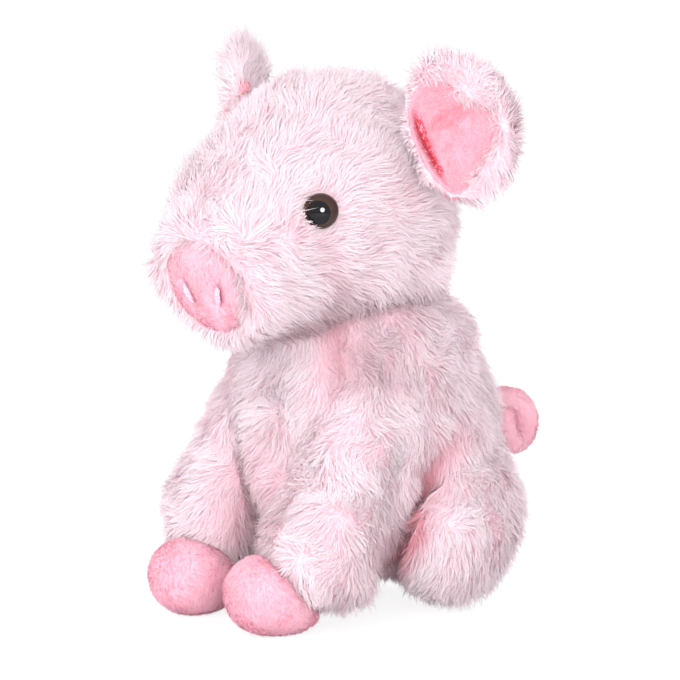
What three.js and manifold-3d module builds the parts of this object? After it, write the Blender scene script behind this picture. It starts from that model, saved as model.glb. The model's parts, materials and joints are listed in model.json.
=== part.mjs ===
// A stuffed toy pig that sits upright, in millimetres.
// It faces -Y, its left side is +X and +Z is up. The origin is the middle of its footprint.
import * as THREE from 'three';
import { mergeVertices } from 'three/addons/utils/BufferGeometryUtils.js';
import Module from 'manifold-3d';

const wasm = await Module();
wasm.setup();

const radians = THREE.MathUtils.degToRad;

// Clearances shared by all pieces: at sewn seams, and where pieces swing past each other
const gap = 0.4;
const swingGap = 0.8;

// How deep the forms that stand on the floor are cut flat, and how far cuts run past a piece
const standFlat = 0.5;
const overrun = 300;

// Cloth and filling
const coverWall = 6;
const hoofWall = 2.5;

// Torso, a pear that carries the head on a round neck
const torso = {
  height: 128,
  bellyHeight: 38,
  shoulderHeight: 84,
  halfWidth: 42,
  halfDepth: 52,
  seatBack: 30,
  bellyBack: 29,
  shoulderBack: 18,
  neckBack: 13,
  fullness: 2.3,
};
const torsoWideShares = [0.9, 0.94, 0.95, 0.97, 1, 1.02, 1];
const torsoDeepShares = [0.88, 0.98, 0.99, 0.96, 0.92, 0.92, 0.95];

// Neck, a ball joint sewn between torso and head
const neck = {
  height: 82,
  ballRadius: 44,
  clearRadius: 51,
  torsoEdge: radians(28),
  headEdge: radians(38),
  seamRadius: 1.2,
  seamDepth: 1.8,
  seamAngle: radians(35),
};

// Head, a swelling skull that tapers to a blunt muzzle
const head = {
  turn: radians(6),
  backReach: 33,
  crownReach: 8,
  browReach: 41,
  muzzleReach: 82,
  skullRise: 62,
  browRise: 52,
  muzzleRise: 36,
  halfWidth: 44,
  halfHeight: 48,
  fullness: 2.6,
};
const headWideShares = [0.9, 0.98, 1, 0.96, 0.86, 0.76, 0.82];
const headTallShares = [0.94, 1.0, 1, 0.92, 0.8, 0.72, 0.8];

// Snout, a domed short-pile panel sunk into the end of the muzzle
const snout = {
  radius: 17.5,
  edge: 1.4,
  dome: 4.6,
  pitch: radians(23),
  setBack: 10.5,
  seatRise: 36.5,
  recess: 3.5,
  rim: 4.5,
  plugLength: 12,
};
const nostril = {
  length: 7.5,
  width: 2.2,
  spacing: 14,
  drop: 1.5,
  slant: radians(14),
  proud: 0.7,
  fullness: 2.4,
};

// Eyes, moulded domes whose stems are locked by washers inside the cover
const eye = {
  radius: 6,
  dome: 4.2,
  edge: 1,
  stemRadius: 1.5,
  stemLength: 11,
  inset: 13,
  ahead: 47.5,
  aboveSpine: 1,
  azimuth: radians(40),
  tilt: radians(4),
};
const washer = {
  radius: 5.5,
  thickness: 1.2,
  stemEnd: 1.9,
};

// Ears, cupped leaves hinged on the sides of the skull
const ear = {
  reach: 43,
  rise: 59,
  back: 6.5,
  rim: 3.2,
  curl: 5,
  dish: 3.4,
  inset: 2,
  ahead: 9,
  aboveSpine: 25,
  lean: radians(13),
  azimuth: radians(43),
  rootOverlap: 9,
};
const dishShare = 0.7;

// Ear lining, an egg-shaped panel that lies low and inward on the leaf, its narrow end down
const lining = {
  reach: 27,
  rise: 40,
  inward: 3,
  down: 5,
  taperShare: 0.25,
  thickness: 1.6,
  standOff: 0.8,
};

// Front legs, which reach forward from the shoulders to the hooves
const frontLeg = {
  shoulderInset: 13,
  shoulderBack: 2,
  shoulderHeight: 92,
  kneeInset: 13,
  kneeAhead: 13,
  kneeHeight: 56,
  ankleInset: 14.5,
  ankleAhead: 28,
  ankleHeight: 20,
  endAhead: 31,
  endHeight: 5,
  halfWidth: 19,
  halfDepth: 19,
  hingeBack: 6,
  hingeHeight: 84,
  fullness: 3,
};
const frontWideShares = [0.8, 0.94, 1, 1.08, 1.16, 1.12];
const frontDeepShares = [0.75, 0.94, 1, 1.08, 1.18, 1.14];
const hoof = {
  halfWidth: 15.5,
  halfLength: 19,
  halfHeight: 14.8,
  inset: 20,
  ahead: 38.5,
  toeIn: radians(15),
  fullness: 2.2,
};

// Hind legs, round haunches with a short foot in front
const hindLeg = {
  hipInset: 18,
  hipBack: 51,
  hipHeight: 66,
  thighInset: 13,
  thighBack: 38,
  thighHeight: 36,
  footInset: 9,
  footBack: 20,
  footHeight: 3.4,
  halfWidth: 22,
  halfDepth: 29,
  fullness: 2.2,
};
const hindWideShares = [0.9, 1, 1, 0.95];
const hindDeepShares = [0.92, 1, 1.04, 1];

// Tail, one curl of a short-pile tube on a ball that turns in a socket of the torso
const tail = {
  tubeRadius: 4.2,
  curlRadius: 7.6,
  turns: 1.1,
  pitch: 11,
  height: 57,
  rootDepth: 4.5,
  rootRadius: 5,
  standOff: 1.5,
};

// Ranges over which pieces are kept clear of what they swing past
const ranges = {
  frontLeg: [radians(-3), radians(30)],
  hindLeg: [radians(-4), radians(4)],
  ear: [radians(-20), radians(20)],
};
const sweepTurn = radians(4);

// Facets along and around the swelling forms
const facets = {
  torso: { rings: 12, sides: 20 },
  head: { rings: 15, sides: 22 },
  filling: { rings: 7, sides: 12 },
  limb: { rings: 8, sides: 16 },
  limbFilling: { rings: 6, sides: 8 },
  nostril: { rings: 6, sides: 8 },
  ear: { rings: 4, sides: 16 },
  tail: { rings: 16, sides: 8 },
};

// Facets around the turned forms, and steps along their arcs
const around = { neck: 24, eye: 14, washer: 10, snout: 20 };
const arcSteps = { collar: 6, throat: 7, seam: 5, eye: 4, snout: 5 };
const ballFacets = { around: 12, up: 8 };

const colours = {
  longPile: 0xf7e2e9,
  shortPile: 0xf4a9bd,
  filling: 0xf4f2ee,
  thread: 0xf3ccd8,
  eye: 0x2c1a14,
  washer: 0xdedcd6,
};
const finishes = {
  longPile: { color: colours.longPile, roughness: 0.95, metalness: 0 },
  shortPile: { color: colours.shortPile, roughness: 0.9, metalness: 0 },
  filling: { color: colours.filling, roughness: 1, metalness: 0 },
  thread: { color: colours.thread, roughness: 0.8, metalness: 0 },
  eye: { color: colours.eye, roughness: 0.12, metalness: 0 },
  washer: { color: colours.washer, roughness: 0.5, metalness: 0 },
};

const point = (x, y, z) => new THREE.Vector3(x, y, z);
const xAxis = point(1, 0, 0);
const yAxis = point(0, 1, 0);
const zAxis = point(0, 0, 1);
const turnAbout = (axis, angle) => new THREE.Quaternion().setFromAxisAngle(axis, angle);

// Solids and joins

// Deletes the flat triangles that a pole leaves once its points are merged.
function withoutFlatTriangles(index) {
  const kept = [];
  for (let i = 0; i < index.length; i += 3) {
    const [a, b, c] = [index[i], index[i + 1], index[i + 2]];
    if (a !== b && b !== c && c !== a) kept.push(a, b, c);
  }
  return new Uint32Array(kept);
}

function toSolid(geometry) {
  const bare = geometry.clone();
  bare.deleteAttribute('normal');
  bare.deleteAttribute('uv');
  const merged = mergeVertices(bare);
  const mesh = new wasm.Mesh({
    numProp: 3,
    vertProperties: new Float32Array(merged.attributes.position.array),
    triVerts: withoutFlatTriangles(merged.index.array),
  });
  return new wasm.Manifold(mesh);
}

function toGeometry(solid) {
  const mesh = solid.getMesh();
  const geometry = new THREE.BufferGeometry();
  geometry.setAttribute('position', new THREE.BufferAttribute(mesh.vertProperties, mesh.numProp));
  geometry.setIndex(new THREE.BufferAttribute(mesh.triVerts, 1));
  return geometry;
}

// The same shape on the other side of the plane X = 0, with its faces turned outward again.
function mirrored(geometry) {
  const copy = geometry.clone().applyMatrix4(new THREE.Matrix4().makeScale(-1, 1, 1));
  const index = Array.from(copy.index.array);
  for (let i = 0; i < index.length; i += 3) {
    [index[i], index[i + 1]] = [index[i + 1], index[i]];
  }
  copy.setIndex(index);
  return copy;
}

const joined = (solids) => solids.reduce((all, solid) => all.add(solid));
const withMirrorImage = (solid) => solid.add(toSolid(mirrored(toGeometry(solid))));

// Swelling forms

// A closed skin over rings of points, with a single point at each end.
function skin(start, ringList, end) {
  const count = ringList[0].length;
  const points = [start, ...ringList.flat(), end];
  const index = [];
  const last = points.length - 1;
  for (let j = 0; j < count; j += 1) {
    const next = (j + 1) % count;
    index.push(0, 1 + next, 1 + j);
    for (let i = 0; i < ringList.length - 1; i += 1) {
      const low = 1 + i * count;
      const high = low + count;
      index.push(low + j, low + next, high + next);
      index.push(low + j, high + next, high + j);
    }
    const top = 1 + (ringList.length - 1) * count;
    index.push(top + j, top + next, last);
  }
  const geometry = new THREE.BufferGeometry().setFromPoints(points);
  geometry.setIndex(index);
  return geometry;
}

// One ring of points about a centre, on an ellipse with two half axes.
function ellipseRing(centre, wideAxis, deepAxis, sides) {
  const ring = [];
  for (let j = 0; j < sides; j += 1) {
    const angle = (2 * Math.PI * j) / sides;
    ring.push(centre.clone()
      .addScaledVector(wideAxis, Math.cos(angle))
      .addScaledVector(deepAxis, Math.sin(angle)));
  }
  return ring;
}

// Reads a table of shares as a smooth curve along a form.
function smoothShare(shares, at) {
  const places = shares.map((share, i) => point(i / (shares.length - 1), share, 0));
  return new THREE.CatmullRomCurve3(places).getPoint(at).y;
}

// A form that swells and tapers along a spine. Its half sizes are shares of two named sizes,
// its ends are rounded, and inset draws the whole form in by a thickness.
function swellingForm(form, inset, { rings, sides }) {
  const spine = new THREE.CatmullRomCurve3(form.spine);
  const trimmed = inset / spine.getLength();
  const centreAt = (at) => {
    const place = THREE.MathUtils.lerp(trimmed, 1 - trimmed, at);
    const inside = THREE.MathUtils.clamp(place, 0, 1);
    const centre = spine.getPointAt(inside);
    const tangent = spine.getTangentAt(inside);
    return { centre: centre.addScaledVector(tangent, (place - inside) * spine.getLength()), tangent };
  };
  const ringList = [];
  for (let i = 1; i < rings; i += 1) {
    const at = (1 - Math.cos((Math.PI * i) / rings)) / 2;
    const round = (1 - Math.abs(2 * at - 1) ** form.fullness) ** (1 / form.fullness);
    const wide = (form.wide - inset) * smoothShare(form.wideShares, at) * round;
    const deep = (form.deep - inset) * smoothShare(form.deepShares, at) * round;
    const { centre, tangent } = centreAt(at);
    const deepWay = tangent.clone().cross(xAxis).normalize();
    const wideWay = deepWay.clone().cross(tangent).normalize();
    ringList.push(ellipseRing(
      centre,
      wideWay.multiplyScalar(wide),
      deepWay.multiplyScalar(deep),
      sides,
    ));
  }
  return skin(centreAt(0).centre, ringList, centreAt(1).centre);
}

// A solid of revolution about Z, its profile drawn from the bottom of the axis to the top.
function revolved(profile, segments) {
  const outline = profile.map(([radius, height]) => new THREE.Vector2(radius, height));
  return new THREE.LatheGeometry(outline, segments).rotateX(Math.PI / 2);
}

// Points of a circular arc about the origin, in the half plane of a profile.
function arcPoints(radius, from, to, steps) {
  const points = [];
  for (let i = 0; i <= steps; i += 1) {
    const angle = from + ((to - from) * i) / steps;
    points.push([Math.max(0, radius * Math.cos(angle)), radius * Math.sin(angle)]);
  }
  return points;
}

// Geometry turned from the Z axis to a direction and moved to a place.
function aimed(geometry, direction, place) {
  const turn = new THREE.Quaternion().setFromUnitVectors(zAxis, direction.clone().normalize());
  return geometry.clone().applyQuaternion(turn).translate(place.x, place.y, place.z);
}

// Geometry turned about an axis through a pivot.
function swung(geometry, pivot, axis, angle) {
  return geometry.clone()
    .translate(-pivot.x, -pivot.y, -pivot.z)
    .applyQuaternion(turnAbout(axis, angle))
    .translate(pivot.x, pivot.y, pivot.z);
}

// All places that a geometry passes through as it swings over a range.
function swept(geometry, pivot, axis, [from, to]) {
  const steps = Math.ceil((to - from) / sweepTurn);
  const places = [];
  for (let i = 0; i <= steps; i += 1) {
    places.push(toSolid(swung(geometry, pivot, axis, from + ((to - from) * i) / steps)));
  }
  return joined(places);
}

// Everything on the far side of a plane through a place.
function blockBeyond(place, direction) {
  const width = 2 * overrun;
  const block = new THREE.BoxGeometry(width, width, overrun).translate(0, 0, overrun / 2);
  return toSolid(aimed(block, direction, place));
}

// The pieces and their groups

const pig = new THREE.Group();
const headGroup = new THREE.Group();
headGroup.position.set(0, torso.neckBack, neck.height);
headGroup.rotation.z = head.turn;
pig.add(headGroup);

function addPiece(group, name, finish, shape) {
  const geometry = shape.isBufferGeometry ? shape : toGeometry(shape);
  const mesh = new THREE.Mesh(geometry, new THREE.MeshStandardMaterial(finishes[finish]));
  mesh.name = name;
  group.add(mesh);
}

// A piece on the pig's left and its mirror image on the right.
function addPair(group, name, finish, shape) {
  const geometry = shape.isBufferGeometry ? shape : toGeometry(shape);
  addPiece(group, `${name}_left`, finish, geometry);
  addPiece(group, `${name}_right`, finish, mirrored(geometry));
}

const floorCut = blockBeyond(point(0, 0, 0), point(0, 0, -1));

// Torso

const neckPivot = point(0, torso.neckBack, neck.height);
const torsoForm = {
  spine: [
    point(0, torso.seatBack, -standFlat),
    point(0, torso.bellyBack, torso.bellyHeight),
    point(0, torso.shoulderBack, torso.shoulderHeight),
    point(0, torso.neckBack, torso.height),
  ],
  wide: torso.halfWidth,
  deep: torso.halfDepth,
  wideShares: torsoWideShares,
  deepShares: torsoDeepShares,
  fullness: torso.fullness,
};

// Cuts the torso down to the neck ball above its edge cone.
function torsoCollarCut(radius) {
  const profile = [
    ...arcPoints(radius, neck.torsoEdge, Math.PI / 2, arcSteps.collar),
    [0, overrun],
    [overrun, overrun],
    [overrun, overrun * Math.tan(neck.torsoEdge)],
  ];
  profile.push(profile[0]);
  const cut = revolved(profile.reverse(), around.neck);
  return toSolid(cut.translate(neckPivot.x, neckPivot.y, neckPivot.z));
}

function neckSeamRing(radius) {
  const middle = neck.ballRadius - neck.seamDepth;
  const aside = middle * Math.cos(neck.seamAngle);
  const up = middle * Math.sin(neck.seamAngle);
  const profile = [];
  for (let i = 0; i <= arcSteps.seam; i += 1) {
    const angle = (2 * Math.PI * i) / arcSteps.seam;
    profile.push([aside + radius * Math.cos(angle), up + radius * Math.sin(angle)]);
  }
  return revolved(profile, around.neck).translate(neckPivot.x, neckPivot.y, neckPivot.z);
}

const tailPivot = point(0, torso.bellyBack + torso.halfDepth - tail.rootDepth, tail.height);
const tailBall = (radius) => new THREE.SphereGeometry(radius, ballFacets.around, ballFacets.up)
  .translate(tailPivot.x, tailPivot.y, tailPivot.z);

const torsoOuter = swellingForm(torsoForm, 0, facets.torso);
const torsoClear = swellingForm(torsoForm, -swingGap, facets.torso);
const torsoHollow = swellingForm(torsoForm, coverWall, facets.filling);
const torsoFilled = swellingForm(torsoForm, coverWall + gap, facets.filling);
const collarCut = torsoCollarCut(neck.ballRadius);
const seamCut = toSolid(neckSeamRing(neck.seamRadius + gap));

addPiece(pig, 'torso_cover', 'longPile', toSolid(torsoOuter)
  .subtract(floorCut)
  .subtract(collarCut)
  .subtract(toSolid(torsoHollow))
  .subtract(seamCut)
  .subtract(toSolid(tailBall(tail.rootRadius + swingGap))));
addPiece(pig, 'torso_filling', 'filling', toSolid(torsoFilled)
  .subtract(collarCut)
  .subtract(seamCut));
addPiece(pig, 'neck_seam', 'thread', neckSeamRing(neck.seamRadius));

// Head, drawn about the neck pivot

const headForm = {
  spine: [
    point(0, head.backReach, head.skullRise),
    point(0, -head.crownReach, head.skullRise),
    point(0, -head.browReach, head.browRise),
    point(0, -head.muzzleReach, head.muzzleRise),
  ],
  wide: head.halfWidth,
  deep: head.halfHeight,
  wideShares: headWideShares,
  deepShares: headTallShares,
  fullness: head.fullness,
};

// Cuts the head back from the neck ball and from the torso that it nods over.
function headNeckCut(radius) {
  return toSolid(revolved([
    ...arcPoints(neck.clearRadius, -Math.PI / 2, neck.headEdge, arcSteps.throat),
    ...arcPoints(radius, neck.headEdge, Math.PI / 2, arcSteps.collar),
  ], around.neck));
}

const snoutWay = point(0, -Math.cos(snout.pitch), -Math.sin(snout.pitch));
const muzzleEnd = point(0, snout.setBack - head.muzzleReach, snout.seatRise);
const snoutSeat = muzzleEnd.clone().addScaledVector(snoutWay, -snout.recess);

// Everything past the end of the muzzle, less a depth behind it.
const pastMuzzle = (depth) => blockBeyond(
  muzzleEnd.clone().addScaledVector(snoutWay, -depth),
  snoutWay,
);

// A round plug through the end of the muzzle, between two heights on the snout's axis.
const muzzlePlug = (radius, bottom, top) => toSolid(aimed(
  revolved([[0, bottom], [radius, bottom], [radius, top], [0, top]], around.snout),
  snoutWay,
  snoutSeat,
));

const eyePlace = point(head.halfWidth - eye.inset, -eye.ahead, head.skullRise + eye.aboveSpine);
const eyeWay = point(
  Math.sin(eye.azimuth) * Math.cos(eye.tilt),
  -Math.cos(eye.azimuth) * Math.cos(eye.tilt),
  Math.sin(eye.tilt),
);

// A domed eye on its stem, spread outward by a clearance.
function eyeShape(spread) {
  const dome = arcPoints(1, 0, Math.PI / 2, arcSteps.eye).map(([across, up]) => [
    (eye.radius + spread) * across,
    eye.edge + spread + eye.dome * up,
  ]);
  return aimed(revolved([
    [0, -eye.stemLength - spread],
    [eye.stemRadius + spread, -eye.stemLength - spread],
    [eye.stemRadius + spread, -spread],
    [eye.radius + spread, -spread],
    ...dome,
  ], around.eye), eyeWay, eyePlace);
}

// The washer on the stem just inside the cover, its bore filled when it is spread for a cut.
function washerShape(spread) {
  const bottom = -spread;
  const top = washer.thickness + spread;
  const bore = spread ? 0 : eye.stemRadius + gap;
  return aimed(revolved([
    [bore, bottom],
    [washer.radius + spread, bottom],
    [washer.radius + spread, top],
    [bore, top],
    [bore, bottom],
  ], around.washer), eyeWay, eyePlace.clone()
    .addScaledVector(eyeWay, washer.stemEnd - washer.thickness / 2 - eye.stemLength));
}

const eyeCuts = withMirrorImage(toSolid(eyeShape(gap)));
const washerCuts = withMirrorImage(toSolid(washerShape(gap)));
const neckCut = headNeckCut(neck.ballRadius + swingGap);

const wallBehindSnout = snout.recess + coverWall;

const headOuter = toSolid(swellingForm(headForm, 0, facets.head))
  .subtract(neckCut)
  .subtract(pastMuzzle(0))
  .subtract(muzzlePlug(snout.radius + gap, 0, overrun));
const headHollow = toSolid(swellingForm(headForm, coverWall, facets.filling))
  .subtract(pastMuzzle(wallBehindSnout));
const headFilled = toSolid(swellingForm(headForm, coverWall + gap, facets.filling))
  .subtract(pastMuzzle(wallBehindSnout + gap))
  .add(muzzlePlug(snout.radius - snout.rim - gap, -snout.plugLength, -gap));

addPiece(headGroup, 'head_cover', 'longPile', headOuter
  .subtract(headHollow)
  .subtract(muzzlePlug(snout.radius - snout.rim, -snout.plugLength, overrun))
  .subtract(eyeCuts));
addPiece(headGroup, 'head_filling', 'filling', headFilled
  .subtract(neckCut)
  .subtract(eyeCuts)
  .subtract(washerCuts));
addPair(headGroup, 'eye', 'eye', toSolid(eyeShape(0)));
addPair(headGroup, 'eye_washer', 'washer', toSolid(washerShape(0)));

// Snout panel and its two stitched nostrils

const nostrilShape = (spread) => swellingForm({
  spine: [point(0, 0, -nostril.length / 2), point(0, 0, nostril.length / 2)],
  wide: nostril.width / 2,
  deep: nostril.width / 2,
  wideShares: [1, 1],
  deepShares: [1, 1],
  fullness: nostril.fullness,
}, -spread, facets.nostril);

// Places a nostril on the left of the snout panel.
function onSnout(geometry) {
  const outAtNostril = snout.dome * (1 - ((nostril.spacing / 2) / snout.radius) ** 2);
  const upWay = point(0, -Math.sin(snout.pitch), Math.cos(snout.pitch));
  const place = snoutSeat.clone()
    .addScaledVector(xAxis, nostril.spacing / 2)
    .addScaledVector(snoutWay, snout.edge + outAtNostril + nostril.proud - nostril.width / 2)
    .addScaledVector(upWay, -nostril.drop);
  return geometry.clone()
    .applyQuaternion(turnAbout(yAxis, nostril.slant))
    .applyQuaternion(new THREE.Quaternion().setFromUnitVectors(yAxis.clone().negate(), snoutWay))
    .translate(place.x, place.y, place.z);
}

const snoutDome = arcPoints(1, 0, Math.PI / 2, arcSteps.snout).map(([across, up]) => [
  snout.radius * across,
  snout.edge + snout.dome * up,
]);
const snoutPanel = toSolid(aimed(
  revolved([[0, gap], [snout.radius, gap], ...snoutDome], around.snout),
  snoutWay,
  snoutSeat,
));
const nostrilCuts = withMirrorImage(toSolid(onSnout(nostrilShape(gap))));
addPiece(headGroup, 'snout_panel', 'shortPile', snoutPanel.subtract(nostrilCuts));
addPair(headGroup, 'nostril_stitch', 'thread', toSolid(onSnout(nostrilShape(0))));

// Ears

// A leaf: rings of points from its middle out to its rim in front, and back behind it. Its
// heights follow how far out on the whole ear each point lies, as a share of the ear's size.
function earLeaf({ reach, rise, inward, down, taperShare }, frontAt, backAt) {
  const { rings, sides } = facets.ear;
  const earMiddle = ear.reach / 2 - ear.rootOverlap;
  const leafPoint = (along, angle, heightAt) => {
    const out = (along * reach * Math.cos(angle) * (1 - taperShare * Math.sin(angle))) / 2 - inward;
    const up = (-along * rise * Math.sin(angle)) / 2 - down;
    const earShare = Math.hypot((2 * out) / ear.reach, (2 * up) / ear.rise);
    return point(earMiddle + out, heightAt(along, earShare), up);
  };
  const ringAt = (along, heightAt) => {
    const ring = [];
    for (let j = 0; j < sides; j += 1) ring.push(leafPoint(along, (2 * Math.PI * j) / sides, heightAt));
    return ring;
  };
  const ringList = [];
  for (let i = 1; i < rings; i += 1) ringList.push(ringAt(i / rings, frontAt));
  for (let i = rings; i > 0; i -= 1) ringList.push(ringAt(i / rings, backAt));
  return skin(leafPoint(0, 0, frontAt), ringList, leafPoint(0, 0, backAt));
}

// The rim curls forward, towards local -Y, and the front is dished where the lining lies.
const bulge = (share, power) => Math.sqrt(Math.max(0, 1 - share ** power));
const cupAt = (reachShare) => -ear.curl * reachShare ** 2;
const dishAt = (reachShare) => cupAt(reachShare)
  + ear.dish * (1 - Math.min(1, reachShare / dishShare) ** 4)
  - ear.rim * bulge(reachShare, 4);
const earFrontAt = (_, reachShare) => dishAt(reachShare);
const earBackAt = (_, reachShare) => cupAt(reachShare) + ear.back * bulge(reachShare, 3);
const liningBackAt = (_, reachShare) => dishAt(reachShare) - lining.standOff;
const liningFrontAt = (along, reachShare) => liningBackAt(along, reachShare)
  - lining.thickness * bulge(along, 2);

// Places an ear on the left of the skull.
const earLean = turnAbout(yAxis, -ear.lean);
const earPivot = point(head.halfWidth - ear.inset, -ear.ahead, head.skullRise + ear.aboveSpine);
const onSkull = (geometry) => geometry.clone()
  .applyQuaternion(turnAbout(zAxis, ear.azimuth))
  .applyQuaternion(earLean)
  .translate(earPivot.x, earPivot.y, earPivot.z);

const earAxis = zAxis.clone().applyQuaternion(earLean);
const headClear = swellingForm(headForm, -swingGap, facets.head);
const skullSweep = swept(headClear, earPivot, earAxis, ranges.ear);
const wholeEar = { reach: ear.reach, rise: ear.rise, inward: 0, down: 0, taperShare: 0 };
const earPanel = onSkull(earLeaf(wholeEar, earFrontAt, earBackAt));
const earLining = onSkull(earLeaf(lining, liningFrontAt, liningBackAt));
addPair(headGroup, 'ear_panel', 'longPile', toSolid(earPanel).subtract(skullSweep));
addPair(headGroup, 'ear_lining', 'shortPile', toSolid(earLining).subtract(skullSweep));

// Front legs

// How far aside of the middle a limb lies, by its inset from the widest place of the torso.
const asideBy = (inset) => torso.halfWidth - inset;

const frontForm = {
  spine: [
    point(asideBy(frontLeg.shoulderInset), frontLeg.shoulderBack, frontLeg.shoulderHeight),
    point(asideBy(frontLeg.kneeInset), -frontLeg.kneeAhead, frontLeg.kneeHeight),
    point(asideBy(frontLeg.ankleInset), -frontLeg.ankleAhead, frontLeg.ankleHeight),
    point(asideBy(frontLeg.ankleInset), -frontLeg.endAhead, frontLeg.endHeight),
  ],
  wide: frontLeg.halfWidth,
  deep: frontLeg.halfDepth,
  wideShares: frontWideShares,
  deepShares: frontDeepShares,
  fullness: frontLeg.fullness,
};
const hoofMiddle = point(asideBy(hoof.inset), -hoof.ahead, hoof.halfHeight - standFlat);
const hoofWay = point(-Math.sin(hoof.toeIn), -Math.cos(hoof.toeIn), 0);
const hoofForm = {
  spine: [
    hoofMiddle.clone().addScaledVector(hoofWay, -hoof.halfLength),
    hoofMiddle.clone().addScaledVector(hoofWay, hoof.halfLength),
  ],
  wide: hoof.halfWidth,
  deep: hoof.halfHeight,
  wideShares: [1, 1],
  deepShares: [1, 1],
  fullness: hoof.fullness,
};
const legSolid = (inset, fine) => toSolid(swellingForm(frontForm, inset, fine));
const hoofSolid = (inset, fine) => toSolid(swellingForm(hoofForm, inset, fine));

const frontPivot = point(asideBy(frontLeg.shoulderInset), frontLeg.hingeBack, frontLeg.hingeHeight);
const torsoFromFront = swept(torsoClear, frontPivot, xAxis, ranges.frontLeg);

// The hoof is cut by the leg that it is sewn to, and the filling runs through both.
const legHollow = legSolid(coverWall, facets.limbFilling)
  .add(hoofSolid(hoofWall, facets.limbFilling));
const legFilled = legSolid(coverWall + gap, facets.limbFilling)
  .add(hoofSolid(hoofWall + gap, facets.limbFilling));
addPair(pig, 'front_leg_cover', 'longPile', legSolid(0, facets.limb)
  .subtract(torsoFromFront)
  .subtract(legHollow));
addPair(pig, 'front_leg_filling', 'filling', legFilled.subtract(torsoFromFront));
addPair(pig, 'front_hoof', 'shortPile', hoofSolid(0, facets.limb)
  .subtract(legSolid(-gap, facets.limb))
  .subtract(legHollow)
  .subtract(floorCut));

// Hind legs

const hindPivot = point(asideBy(hindLeg.hipInset), hindLeg.hipBack, hindLeg.hipHeight);
const hindForm = {
  spine: [
    hindPivot,
    point(asideBy(hindLeg.thighInset), hindLeg.thighBack, hindLeg.thighHeight),
    point(asideBy(hindLeg.footInset), hindLeg.footBack, hindLeg.footHeight),
  ],
  wide: hindLeg.halfWidth,
  deep: hindLeg.halfDepth,
  wideShares: hindWideShares,
  deepShares: hindDeepShares,
  fullness: hindLeg.fullness,
};
const hindSolid = (inset, fine) => toSolid(swellingForm(hindForm, inset, fine));
const torsoFromHind = swept(torsoClear, hindPivot, xAxis, ranges.hindLeg);
addPair(pig, 'hind_leg_cover', 'longPile', hindSolid(0, facets.limb)
  .subtract(torsoFromHind)
  .subtract(hindSolid(coverWall, facets.limbFilling))
  .subtract(floorCut));
addPair(pig, 'hind_leg_filling', 'filling', hindSolid(coverWall + gap, facets.limbFilling)
  .subtract(torsoFromHind));

// Tail

// The centre line of the curl, from the root on the torso to the tip.
class TailCurl extends THREE.Curve {
  getPoint(at) {
    const angle = 2 * Math.PI * tail.turns * at;
    return point(
      tail.pitch * (at - 1 / 2),
      tailPivot.y + tail.rootRadius + tail.standOff + tail.curlRadius * (1 - Math.cos(angle)),
      tailPivot.z + tail.curlRadius * Math.sin(angle),
    );
  }
}
const tailCurl = new TailCurl();

// A round tube along the curl, with a blunt tip.
function tailTube() {
  const { rings, sides } = facets.tail;
  const ringList = [];
  for (let i = 0; i <= rings; i += 1) {
    const along = tailCurl.getTangent(i / rings);
    const outWay = along.clone().cross(xAxis).normalize();
    const asideWay = outWay.clone().cross(along).normalize();
    const radius = tail.tubeRadius * bulge(i / (rings + 1), 8);
    ringList.push(ellipseRing(
      tailCurl.getPoint(i / rings),
      asideWay.multiplyScalar(radius),
      outWay.multiplyScalar(radius),
      sides,
    ));
  }
  return skin(tailCurl.getPoint(0), ringList, tailCurl.getPoint(1));
}

// The least gap between stretches of the curl that lie half a turn or more apart.
function leastTailGap() {
  const centres = tailCurl.getPoints(around.neck * facets.tail.rings);
  const apart = Math.ceil(centres.length / (2 * tail.turns));
  let least = Infinity;
  for (let i = 0; i + apart < centres.length; i += 1) {
    for (let j = i + apart; j < centres.length; j += 1) {
      least = Math.min(least, centres[i].distanceTo(centres[j]));
    }
  }
  return least - 2 * tail.tubeRadius;
}
console.log(`Least gap of the tail's curl to itself: ${leastTailGap().toFixed(2)} mm`);

addPiece(pig, 'tail', 'shortPile', toSolid(tailTube()).add(toSolid(tailBall(tail.rootRadius))));

// Places the middle of the footprint at the origin.
pig.updateMatrixWorld(true);
const reach = new THREE.Box3().setFromObject(pig, true);
const middle = reach.getCenter(point(0, 0, 0));
pig.position.set(-middle.x, -middle.y, -reach.min.z);

export default pig;
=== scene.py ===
import json
import math

import bmesh
import bpy
import numpy as np
from bpy.props import FloatProperty, FloatVectorProperty, IntProperty, PointerProperty
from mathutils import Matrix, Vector
from mathutils.bvhtree import BVHTree
from mathutils.kdtree import KDTree

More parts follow.
